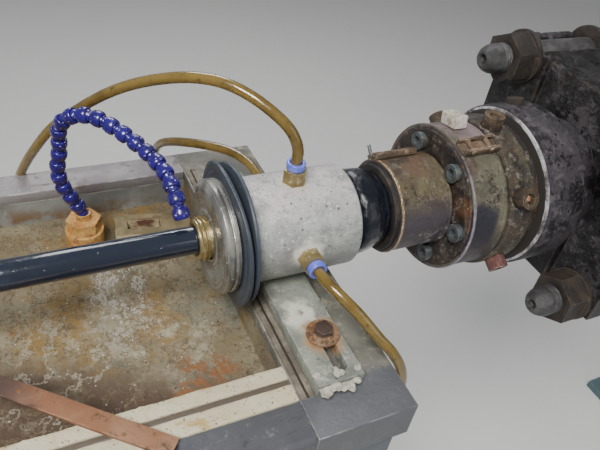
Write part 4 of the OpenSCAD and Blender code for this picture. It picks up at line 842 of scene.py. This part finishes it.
class EXTRUDER_OT_stage(Operator):
    """Set up the camera, the soft lights and the pale floor"""
    bl_idname = "extruder.stage"
    bl_label = "Stage"

    def execute(self, context):
        azimuth, elevation, roll = (math.radians(a) for a in CAMERA_TURNS)
        back = Vector((math.sin(azimuth) * math.cos(elevation),
                       -math.cos(azimuth) * math.cos(elevation), math.sin(elevation)))
        level = Vector((math.cos(azimuth), math.sin(azimuth), 0))
        over = back.cross(level)
        right = math.cos(roll) * level + math.sin(roll) * over
        up = math.cos(roll) * over - math.sin(roll) * level
        turn = Matrix((right, up, back)).transposed().to_4x4()
        data = bpy.data.cameras.new("Camera")
        data.lens, data.sensor_width, data.sensor_fit = CAMERA_LENS, 36.0, 'HORIZONTAL'
        data.clip_start = 0.02
        camera = bpy.data.objects.new("Camera", data)
        camera.matrix_world = Matrix.Translation(CAMERA_PLACE) @ turn
        context.scene.collection.objects.link(camera)
        context.scene.camera = camera

        for name, place, target, size, power, tint in LIGHTS:
            data = bpy.data.lights.new(name, 'AREA')
            data.shape, data.size, data.energy, data.color = 'SQUARE', size, power, tint
            lamp = bpy.data.objects.new(name, data)
            lamp.location = place
            aim = (Vector(target) - Vector(place)).to_track_quat('-Z', 'Y')
            lamp.rotation_euler = aim.to_euler()
            context.scene.collection.objects.link(lamp)
        world = bpy.data.worlds.new("Studio")
        world.use_nodes = True
        sky = world.node_tree.nodes['Background'].inputs
        sky['Color'].default_value, sky['Strength'].default_value = (0.86, 0.88, 0.90, 1), 0.27
        context.scene.world = world

        bm = bmesh.new()
        bmesh.ops.create_grid(bm, x_segments=1, y_segments=1, size=9.0)
        mesh = bpy.data.meshes.new("Floor")
        bm.to_mesh(mesh)
        bm.free()
        mesh.materials.append(finish("Studio floor"))
        floor = bpy.data.objects.new("Floor", mesh)
        context.scene.collection.objects.link(floor)
        return {'FINISHED'}


# The hoses' routes, in millimetres from the jacket's mouth on the pipe's axis
TOP_ROUTE = [(-54, 0, 66), (-54, 1, 80), (-60, 6, 95), (-71, 17, 106), (-88, 34, 116),
             (-107, 53, 120), (-130, 75, 115), (-158, 103, 99), (-183, 128, 78),
             (-208, 153, 50), (-232, 177, 18), (-252, 198, -20), (-267, 218, -58),
             (-276, 234, -95), (-280, 243, -135)]
REAR_ROUTE = [(-54, 66, 0), (-54, 82, 2), (-58, 101, 3), (-68, 122, 2), (-84, 146, -4),
              (-101, 170, -13), (-112, 194, -26), (-118, 214, -42), (-120, 232, -68),
              (-121, 241, -100), (-121, 243, -135)]
FRONT_ROUTE = [(-54, -66, 0), (-53, -80, 0), (-46, -96, -4), (-34, -112, -15), (-20, -126, -32),
               (-6, -134, -49), (6, -139, -72), (11, -141, -100), (13, -138, -135),
               (14, -126, -170), (16, -100, -202), (18, -62, -226), (20, -18, -238),
               (22, 32, -240), (24, 84, -232), (25, 132, -216), (24, 176, -198),
               (17, 212, -184), (2, 234, -175), (-20, 242, -172), (-50, 243, -172)]

# The jointed hose's route, in millimetres from the sleeve's outlet end on the pipe's axis
SPRAY_ROUTE = [(-76, 127, -54), (-81, 129, -42), (-87, 130, -30), (-92, 131, -18), (-94, 131, -5),
               (-93, 131, 8), (-90, 130, 20), (-89, 129, 32), (-89, 127, 44), (-85, 123, 56),
               (-77, 116, 65), (-66, 108, 69), (-55, 99, 68), (-45, 89, 64), (-35, 78, 59),
               (-26, 66, 54), (-19, 53, 50), (-15, 40, 47), (-13, 27, 43), (-12, 16, 36),
               (-10, 8, 27), (-9, 3, 15)]


def smooth_route(route, steps, start_x):
    """The points of a smooth curve through a route, in metres in the machine's frame."""
    points = [Vector(p) for p in route]
    last = len(points) - 1
    out = []
    for i in range(last):
        a, b, c, d = points[max(i - 1, 0)], points[i], points[i + 1], points[min(i + 2, last)]
        for k in range(steps):
            t = k / steps
            out.append(0.5 * (2 * b + (c - a) * t + (2 * a - 5 * b + 4 * c - d) * t * t
                              + (3 * b - a - 3 * c + d) * t ** 3))
    out.append(points[last])
    return [p * MM + Vector((start_x, 0, AXIS_Z)) for p in out]


class EXTRUDER_OT_hoses(Operator):
    """Lay the three amber water hoses from the jacket to the header"""
    bl_idname = "extruder.hoses"
    bl_label = "Water hoses"

    def execute(self, context):
        diameter = context.scene.extruder_sizes.hose_d
        for node, route, steps in (("top_hose", TOP_ROUTE, 2), ("rear_hose", REAR_ROUTE, 2),
                                   ("front_hose", FRONT_ROUTE, 1)):
            points = smooth_route(route, steps, MOUTH_X)
            curve = bpy.data.curves.new(node + "_finished", 'CURVE')
            curve.dimensions = '3D'
            curve.resolution_u = curve.render_resolution_u = 6
            curve.bevel_depth = diameter / 2
            curve.bevel_resolution = 6
            curve.use_fill_caps = True
            spline = curve.splines.new('BEZIER')
            spline.bezier_points.add(len(points) - 1)
            for knot, place in zip(spline.bezier_points, points):
                knot.co = place
                knot.handle_left_type = knot.handle_right_type = 'AUTO'
            obj = mount(node + "_finished", curve, "amber hose", "amber_hose", node)
        return {'FINISHED'}


class EXTRUDER_OT_tank(Operator):
    """Finish the open tank: sheets, rims and sponge seals"""
    bl_idname = "extruder.tank"
    bl_label = "Sizing tank"

    def execute(self, context):
        for node, look_name in (
                ("tank_floor", "tank floor sheet"), ("tank_front_wall", "galvanised sheet"),
                ("tank_back_wall", "galvanised sheet"), ("tank_outlet_wall", "galvanised sheet"),
                ("tank_inlet_wall", "tank floor sheet")):
            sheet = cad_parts[node].data
            sheet.materials.clear()
            sheet.materials.append(finish(look_name))
        for node, look_name, slot in (
                ("front_rim", "frame steel", "grey_frame"),
                ("outlet_rim", "frame steel", "grey_frame"),
                ("inlet_rim", "inlet steel", "grey_frame"),
                ("back_rim", "ledge sheet", "galvanised")):
            dressed(node, look_name, slot)
        fray = context.scene.extruder_sizes.seal_fray
        for node, look_name, slot in (("front_seals", "cream sponge", "seal_cream"),
                                      ("end_seal", "grey sponge", "seal_grey")):
            bm = from_node(node)
            for least, cuts in ((0.1, 150), (0.01, 3)):
                edges = [e for e in bm.edges if e.calc_length() > least]
                bmesh.ops.subdivide_edges(bm, edges=edges, cuts=cuts, use_grid_fill=True)
            top_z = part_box(node)[1].z - MM
            for vert in [v for v in bm.verts if v.co.z > top_z]:
                wave = noise.noise(vert.co * 55.0) + 0.6 * noise.noise(vert.co * 160.0)
                vert.co.z += fray * (wave - 0.9)
            soften(bm, SHARP, 50)
            piece(node + "_finished", bm, look_name, slot, node)
        return {'FINISHED'}


class EXTRUDER_OT_stand(Operator):
    """Finish the tank's stand and its levelling feet"""
    bl_idname = "extruder.stand"
    bl_label = "Stand"

    def execute(self, context):
        for node in ("tank_bearers", "tank_legs", "stand_rails"):
            dressed(node, "stand paint", "stand_paint", 0.003, segments=3)
        dressed("levelling_feet", "screw zinc", "foot_steel", FINE)
        return {'FINISHED'}


class EXTRUDER_OT_jacket(Operator):
    """Turn the cooling jacket"""
    bl_idname = "extruder.jacket"
    bl_label = "Cooling jacket"

    def execute(self, context):
        _, span, r = extent("jacket")
        bore = extent("sizing_sleeve")[2]
        edge = 0.002
        turned_piece("jacket", [
            (0, bore), (0, r - edge), (edge, r), (span - edge, r), (span, r - edge), (span, bore)],
            "jacket aluminium", "jacket_alu")
        return {'FINISHED'}


class EXTRUDER_OT_sleeve(Operator):
    """Turn the brass sizing sleeve and cut its thread"""
    bl_idname = "extruder.sleeve"
    bl_label = "Sizing sleeve"

    def execute(self, context):
        start, span, r = extent("sizing_sleeve")
        bore = 0.0127
        pitch = context.scene.extruder_sizes.sleeve_pitch
        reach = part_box("end_flange")[0].x - start
        bm = bmesh.new()
        lathe(bm, [(0, bore + 0.002), (0, r - 0.003), (0.001, r - 0.002), (reach + 0.002, r - 0.002),
                   (reach + 0.003, r), (span, r), (span, bore), (0.004, bore)], start, 96)
        clean(bm)
        soften(bm, 0.0004, 20)
        add_thread(bm, Vector((start + 0.0015, 0, AXIS_Z)), r, 0.0022, pitch,
                   (reach - 0.002) / pitch)
        piece("sizing_sleeve_finished", bm, "dull brass", "brass", "sizing_sleeve")
        return {'FINISHED'}


class EXTRUDER_OT_end_flange(Operator):
    """Turn the steel flange at the outlet of the jacket"""
    bl_idname = "extruder.end_flange"
    bl_label = "End flange"

    def execute(self, context):
        _, t, r = extent("end_flange")
        bore = 0.020
        turned_piece("end_flange", [
            (0, bore), (0, 0.024), (0.0012, 0.0255), (0.0012, 0.034), (0, 0.036), (0, r - 0.005),
            (0.004, r), (t * 0.62, r), (t * 0.66, r - 0.0012), (t * 0.72, r - 0.0012),
            (t * 0.76, r), (t, r), (t, bore)], "turned steel", "bright_steel")
        return {'FINISHED'}


class EXTRUDER_OT_discs(Operator):
    """Make the two floppy rubber discs"""
    bl_idname = "extruder.discs"
    bl_label = "Rubber discs"

    def execute(self, context):
        start, _, r = extent("rubber_discs")
        droop = context.scene.extruder_sizes.disc_droop
        thick, bore, rings, stiff_r, apart = 0.0035, 0.020, 14, 0.030, 0.0065
        bm = bmesh.new()
        for i, (lean, grow) in enumerate(((1.0, 1.0), (-0.4, 0.965))):
            side = [(0, bore + (r * grow - bore) * k / rings) for k in range(rings + 1)]
            back = [(thick, radius) for _, radius in reversed(side)]
            for vert in lathe(bm, side + back, start + 0.0012 + i * apart, 128):
                y, z = vert.co.y, vert.co.z - AXIS_Z
                far = max(0.0, (math.hypot(y, z) - stiff_r) / (r - stiff_r))
                angle = math.atan2(y, z)
                wave = 0.55 * math.cos(angle + 0.4 * i) + 0.22 * math.sin(3 * angle + 1.3 + i)
                vert.co.x -= droop * lean * far ** 1.6 * wave
        clean(bm)
        soften(bm, FINE, 50)
        piece("rubber_discs_finished", bm, "disc rubber", "black_rubber", "rubber_discs", smooth=50)
        return {'FINISHED'}


# Place, size in millimetres and seed of each lump of lime on the foot
FLAKES = (
    (-1.318, -0.1475, 0.949, 6, 3), (-1.309, -0.1465, 0.951, 5, 8), (-1.297, -0.1475, 0.948, 6, 5),
    (-1.290, -0.1465, 0.951, 4, 2), (-1.303, -0.1385, 0.956, 4, 9), (-1.284, -0.1385, 0.955, 3, 4),
    (-1.321, -0.1370, 0.955, 3, 6), (-1.306, -0.0700, 0.955, 3, 7))


class EXTRUDER_OT_foot(Operator):
    """Finish the foot plate, its bolts and the lime on it"""
    bl_idname = "extruder.foot"
    bl_label = "Calibrator foot"

    def execute(self, context):
        dressed("calibrator_foot", "limed foot plate", "foot_plate", FINE)
        dressed("foot_bolts", "rusty iron", "rust_bolt")
        bm = bmesh.new()
        for *place, size, seed in FLAKES:
            lump = bmesh.ops.create_icosphere(bm, subdivisions=3, radius=size * MM)["verts"]
            for vert in lump:
                vert.co *= 1 + 0.8 * noise.noise(vert.co * 260 + Vector((seed, 0, 0)))
                vert.co.z *= 0.35
                vert.co += Vector(place)
        piece("lime_lumps", bm, "dried lime", "foot_plate")
        return {'FINISHED'}


class EXTRUDER_OT_fittings(Operator):
    """Finish the push-in fittings and their release collars"""
    bl_idname = "extruder.fittings"
    bl_label = "Push-in fittings"

    def execute(self, context):
        dressed("fitting_bodies", "dull brass", "brass", 0.0009)
        dressed("fitting_collars", "collar plastic", "blue_plastic", segments=3)
        return {'FINISHED'}


class EXTRUDER_OT_header(Operator):
    """Finish the water header and its brackets"""
    bl_idname = "extruder.header"
    bl_label = "Water header"

    def execute(self, context):
        dressed("water_header", "galvanised sheet", "galvanised")
        dressed("header_brackets", "galvanised sheet", "galvanised", FINE)
        return {'FINISHED'}


class EXTRUDER_OT_pipe(Operator):
    """Finish the black pipe and the soft plastic in front of the die"""
    bl_idname = "extruder.pipe"
    bl_label = "Pipe"

    def execute(self, context):
        start, span, r = extent("pipe")
        wall, rings = 0.0025, 96
        bm = bmesh.new()
        outer = [(span * k / rings, r) for k in range(rings + 1)]
        lathe(bm, [(0, r - wall)] + outer + [(span, r - wall)], start, 64)
        clean(bm)
        soften(bm, 0.0003, 60)
        piece("pipe_finished", bm, "wet black pipe", "pipe_black", "pipe")

        start, gap, big = extent("soft_pipe")
        outline = [(0.0, 0.0195), (0.02, 0.026), (0.05, big - 0.010), (0.12, big - 0.004),
                   (0.22, big - 0.001), (0.36, big), (0.50, big - 0.0006), (0.64, big - 0.002),
                   (0.78, big - 0.0042), (0.90, big - 0.0062), (1.0, 0.0352)]
        inner = [(1.0, 0.028), (0.6, 0.028), (0.3, 0.020), (0.0, 0.0102)]
        bm = bmesh.new()
        lathe(bm, [(gap * share, radius) for share, radius in outline + inner], start, 96)
        clean(bm)
        bmesh.ops.subdivide_edges(bm, edges=bm.edges, cuts=1, smooth=1.0, use_grid_fill=True)
        bm.normal_update()
        lumps = context.scene.extruder_sizes.soft_lumps
        for vert in bm.verts:
            if (math.hypot(vert.co.y, vert.co.z - AXIS_Z) > 0.033
                    and start + 0.003 < vert.co.x < start + gap - 0.002):
                vert.co += vert.normal * noise.noise(vert.co * 70.0 + Vector((3, 3, 3))) * lumps
        for vert in bm.verts:
            radius = math.hypot(vert.co.y, vert.co.z - AXIS_Z)
            if radius > big:
                vert.co.y *= big / radius
                vert.co.z = AXIS_Z + (vert.co.z - AXIS_Z) * big / radius
        piece("soft_pipe_finished", bm, "soft black plastic", "pipe_black", "soft_pipe", smooth=70)
        return {'FINISHED'}


LINK_PITCH = 0.0132
# Half of a link's section, as (radius, distance along): the ball, the neck and the cup
LINK = [(0.0024, -0.0035), (0.0040, -0.0035), (0.0051, -0.0018), (0.0054, 0.0004),
        (0.0051, 0.0020), (0.0047, 0.0028), (0.0047, 0.0040), (0.0060, 0.0045),
        (0.0068, 0.0052), (0.0069, 0.0070), (0.0075, 0.0079), (0.0075, 0.0114),
        (0.0073, 0.0128), (0.0066, 0.0141), (0.0056, 0.0141), (0.0056, 0.0130),
        (0.0044, 0.0098), (0.0024, 0.0080)]


class EXTRUDER_OT_spray(Operator):
    """Build the bronze block and the chain of ball and socket links"""
    bl_idname = "extruder.spray"
    bl_label = "Jointed spray hose"

    def execute(self, context):
        dressed("spray_block", "orange bronze", "bronze", segments=3)
        curve = smooth_route(SPRAY_ROUTE, 12, SLEEVE_X)
        joints = [curve[0]]
        for point in curve:
            while (point - joints[-1]).length >= LINK_PITCH:
                joints.append(joints[-1] + LINK_PITCH * (point - joints[-1]).normalized())
        bm = bmesh.new()
        for here, there in zip(joints, joints[1:]):
            place = aimed(here, there)
            spin(bm, [place @ Vector((r, 0, z)) for r, z in LINK], here, there - here, 28)
        clean(bm)
        soften(bm, 0.0003, 40, 1)
        piece("jointed_hose_finished", bm, "link plastic", "jointed_blue", "jointed_hose", smooth=50)
        return {'FINISHED'}


class EXTRUDER_OT_loose(Operator):
    """Finish the brass box and the rusty strap that lie in the tank"""
    bl_idname = "extruder.loose"
    bl_label = "Loose pieces"

    def execute(self, context):
        dressed("drain_box", "box brass", "drain_brass")
        dressed("strap_bar", "flat rust", "rust_strap", SHARP)
        strap = (Matrix.Translation((MOUTH_X - 0.205, -0.150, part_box("strap_bar")[1].z - 0.0004))
                 @ Matrix.Rotation(math.radians(139), 4, 'Z'))
        flat = Matrix.Diagonal((1, 1, 0.4, 1))
        bm = bmesh.new()
        for along, across in ((0.006, 0.004), (0.014, -0.004), (0.034, 0.004), (0.060, -0.003),
                              (0.122, 0.0)):
            place = Matrix.Translation(strap @ Vector((along, across, 0))) @ flat
            bmesh.ops.create_uvsphere(bm, u_segments=16, v_segments=8, radius=0.0021, matrix=place)
        piece("strap_rivets", bm, "rusty iron", "rust_strap")
        return {'FINISHED'}


class EXTRUDER_OT_lip(Operator):
    """Finish the die lip with its heater band and probe"""
    bl_idname = "extruder.lip"
    bl_label = "Die lip"

    def execute(self, context):
        # the die bush is finished near-black: grease with painted shade over it
        dressed("die_bush", "burnt bush", "die_steel", SHARP)
        dressed("mandrel", "die steel", "die_steel", SHARP)
        heater_band("lip_heater", "lip skin", 0.0432, 0.0022, 0.003, 0.0008)
        dressed("thermocouple", "screw zinc", "screw_steel", 0.0006)
        return {'FINISHED'}


class EXTRUDER_OT_ring(Operator):
    """Finish the retaining ring and its socket screws"""
    bl_idname = "extruder.ring"
    bl_label = "Retaining ring"

    def execute(self, context):
        dressed("retaining_ring", "rusted ring", "die_steel", SHARP)
        dressed("retaining_screws", "screw zinc", "screw_steel", SHARP, segments=3)
        return {'FINISHED'}


class EXTRUDER_OT_band(Operator):
    """Finish the big heater band, the clamp bars and the terminal"""
    bl_idname = "extruder.band"
    bl_label = "Heater band"

    def execute(self, context):
        heater_band("body_heater", "band skin", 0.0712, 0.003, 0.004, 0.001)
        dressed("heater_clamps", "closure steel", "heater_skin")
        dressed("ceramic_terminal", "white ceramic", "ceramic_white", segments=3)
        return {'FINISHED'}


class EXTRUDER_OT_body(Operator):
    """Finish the die body, the centring bolts and the gasket"""
    bl_idname = "extruder.body"
    bl_label = "Die body"

    def execute(self, context):
        dressed("die_body", "die steel", "die_steel", SHARP)
        dressed("centring_bolts", "brown bolts", "screw_steel", segments=3)
        bm = bmesh.new()
        low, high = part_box("centring_bolts")
        for number in range(6):
            place = at_angle(60 * number, high.z - AXIS_Z, (low.x + high.x) / 2)
            add_rod(bm, 0.0040, -0.0062, -0.0030, place, 6, 0.0034)
        soften(bm, 0.0003, 40)
        piece("bolt_centres", bm, "worn copper", "screw_steel")
        _, t, r = extent("gasket")
        bore = 0.0225
        turned_piece("gasket", [(0, bore), (0, r), (t, r), (t, bore)], "fibre gasket",
                     "gasket_white", 0.0004)
        return {'FINISHED'}


class EXTRUDER_OT_clamp(Operator):
    """Finish the adapter and the two greasy clamp flanges"""
    bl_idname = "extruder.clamp"
    bl_label = "Clamp flanges"

    def execute(self, context):
        dressed("adapter", "greasy adapter", "black_grease", FINE)
        bm = bmesh.new()
        place = at_angle(-20, 0.086, -1.030)  # on the adapter's rim
        add_rod(bm, 0.0085, -0.002, 0.0060, place, 32)
        add_rod(bm, 0.0040, 0.0060, 0.0067, place, 6, 0.0036)
        soften(bm, EDGE, 40)
        piece("adapter_bolt", bm, "nut steel", "screw_steel")
        rounding = context.scene.extruder_sizes.cast_edge
        for node in ("die_flange", "barrel_flange"):
            dressed(node, "black grease", "black_grease", rounding, 60, 3)
        return {'FINISHED'}


class EXTRUDER_OT_studs(Operator):
    """Build the four studs with their nuts"""
    bl_idname = "extruder.studs"
    bl_label = "Studs and nuts"

    def execute(self, context):
        low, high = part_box("studs")
        r, pitch, reach = 0.0165, 0.0035, high.x - low.x
        nose = [(0.0055, 0.0), (0.0055, 0.0042), (0.0010, 0.0050), (0.0, 0.0072), (0.0018, 0.0108),
                (0.0052, 0.0137), (0.0100, 0.0157), (0.0150, r)]
        grooves = [(0.0200 + pitch * k + along, r - deep) for k in range(3)
                   for along, deep in ((0, 0), (0.0012, 0.0013), (0.0024, 0))]
        tail = [(reach - 0.0030, r), (reach - 0.0005, r - 0.0022), (reach, r - 0.0030), (reach, 0.0)]
        bm = bmesh.new()
        for y in (low.y + r, high.y - r):
            for z in (low.z + r, high.z - r):
                lathe(bm, nose + grooves + tail, low.x, 48, z, y, closed=False)
        clean(bm)
        soften(bm, 0.0004, 40)
        piece("studs_finished", bm, "stud steel", "stud_steel", "studs")
        dressed("nuts", "nut steel", "stud_steel", BROAD)
        return {'FINISHED'}


class EXTRUDER_OT_barrel(Operator):
    """Finish the barrel, its rear flange and its heater bands"""
    bl_idname = "extruder.barrel"
    bl_label = "Barrel"

    def execute(self, context):
        dressed("barrel", "barrel steel", "barrel_steel", FINE)
        dressed("rear_flange", "barrel steel", "barrel_steel", 0.0015)
        dressed("barrel_heaters", "heater skin", "heater_skin", 0.0015)
        r = extent("barrel_heaters")[2]
        ends = sorted({round(v.co.x, 4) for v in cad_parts["barrel_heaters"].data.vertices})
        closure_angle, terminal_angle = 70, 20
        steel, white = bmesh.new(), bmesh.new()
        for x0, x1 in zip(ends[::2], ends[1::2]):
            for turn in (closure_angle - 8, closure_angle + 8):
                add_block(steel, (x0 + 0.004, -0.005, -0.003), (x1 - 0.004, 0.005, 0.005),
                          at_angle(turn, r, 0))
            for share in (0.2, 0.8):
                x = x0 + (x1 - x0) * share
                place = at_angle(closure_angle, r + 0.0045, x) @ Matrix.Rotation(math.pi / 2, 4, 'X')
                add_rod(steel, 0.0026, -0.015, 0.015, place, 16)
                add_rod(steel, 0.0055, 0.012, 0.017, place, 6)
                place = at_angle(terminal_angle, r, x)
                add_rod(white, 0.0095, -0.002, 0.010, place, 24, 0.0085)
                add_rod(steel, 0.0028, 0.009, 0.014, place, 6)
            add_block(steel, (x0 + 0.020, -0.014, -0.002), (x1 - 0.020, 0.014, 0.0035),
                      at_angle(terminal_angle, r, 0))
        for bm, name, look_name, slot in (
                (steel, "barrel_closures", "closure steel", "heater_skin"),
                (white, "barrel_terminals", "white ceramic", "ceramic_white")):
            bmesh.ops.recalc_face_normals(bm, faces=bm.faces)
            soften(bm, 0.0007, 40)
            piece(name, bm, look_name, slot)
        return {'FINISHED'}


class EXTRUDER_OT_pedestal(Operator):
    """Finish the pedestal under the barrel"""
    bl_idname = "extruder.pedestal"
    bl_label = "Pedestal"

    def execute(self, context):
        for node in ("pedestal_base", "pedestal_column", "saddle"):
            dressed(node, "machine paint", "pedestal_paint", BROAD)
        dressed("saddle_strap", "machine paint", "pedestal_paint", 0.0015)
        low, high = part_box("saddle_strap")
        bolts, welds = bmesh.new(), bmesh.new()
        for turn in (-52, 52):
            for x in (low.x * 0.5, high.x * 0.5):
                place = at_angle(turn, high.z - AXIS_Z, x)
                add_rod(bolts, 0.0095, -0.001, 0.0012, place, 32)
                add_rod(bolts, 0.0075, 0.0012, 0.0070, place, 6)
        soften(bolts, 0.0006, 40)
        piece("saddle_bolts", bolts, "screw zinc", "pedestal_paint")
        low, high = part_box("pedestal_column")
        corners = [(low.x, low.y), (high.x, low.y), (high.x, high.y), (low.x, high.y)]
        for z in (low.z, high.z):
            for a, b in zip(corners, corners[1:] + corners[:1]):
                add_weld(welds, Vector((*a, z)), Vector((*b, z)))
        piece("column_welds", welds, "machine paint", "pedestal_paint", smooth=60)
        return {'FINISHED'}


OPERATORS = (
    EXTRUDER_OT_stage, EXTRUDER_OT_hoses, EXTRUDER_OT_tank, EXTRUDER_OT_stand,
    EXTRUDER_OT_jacket, EXTRUDER_OT_sleeve, EXTRUDER_OT_end_flange, EXTRUDER_OT_discs,
    EXTRUDER_OT_foot, EXTRUDER_OT_fittings, EXTRUDER_OT_header, EXTRUDER_OT_pipe,
    EXTRUDER_OT_spray, EXTRUDER_OT_loose, EXTRUDER_OT_lip, EXTRUDER_OT_ring, EXTRUDER_OT_band,
    EXTRUDER_OT_body, EXTRUDER_OT_clamp, EXTRUDER_OT_studs, EXTRUDER_OT_barrel,
    EXTRUDER_OT_pedestal,
)


class EXTRUDER_PT_panel(Panel):
    """Lists the pieces of the extruder head"""
    bl_label = "Pipe Extruder Head"
    bl_idname = "EXTRUDER_PT_panel"
    bl_space_type = 'VIEW_3D'
    bl_region_type = 'UI'
    bl_category = "Extruder"

    def draw(self, context):
        layout = self.layout
        for group in (context.scene.extruder_sizes, context.scene.extruder_colours):
            box = layout.box()
            for key in group.__annotations__:
                box.prop(group, key)
        for operator in OPERATORS:
            layout.operator(operator.bl_idname)


CLASSES = (ExtruderSizes, ExtruderColours, *OPERATORS, EXTRUDER_PT_panel)


def register():
    for cls in CLASSES:
        bpy.utils.register_class(cls)
    bpy.types.Scene.extruder_sizes = PointerProperty(type=ExtruderSizes)
    bpy.types.Scene.extruder_colours = PointerProperty(type=ExtruderColours)


def unregister():
    del bpy.types.Scene.extruder_colours
    del bpy.types.Scene.extruder_sizes
    for cls in reversed(CLASSES):
        bpy.utils.unregister_class(cls)


def main():
    register()
    for operator in OPERATORS:
        area, name = operator.bl_idname.split(".")
        getattr(getattr(bpy.ops, area), name)()


if __name__ == "__main__":
    main()
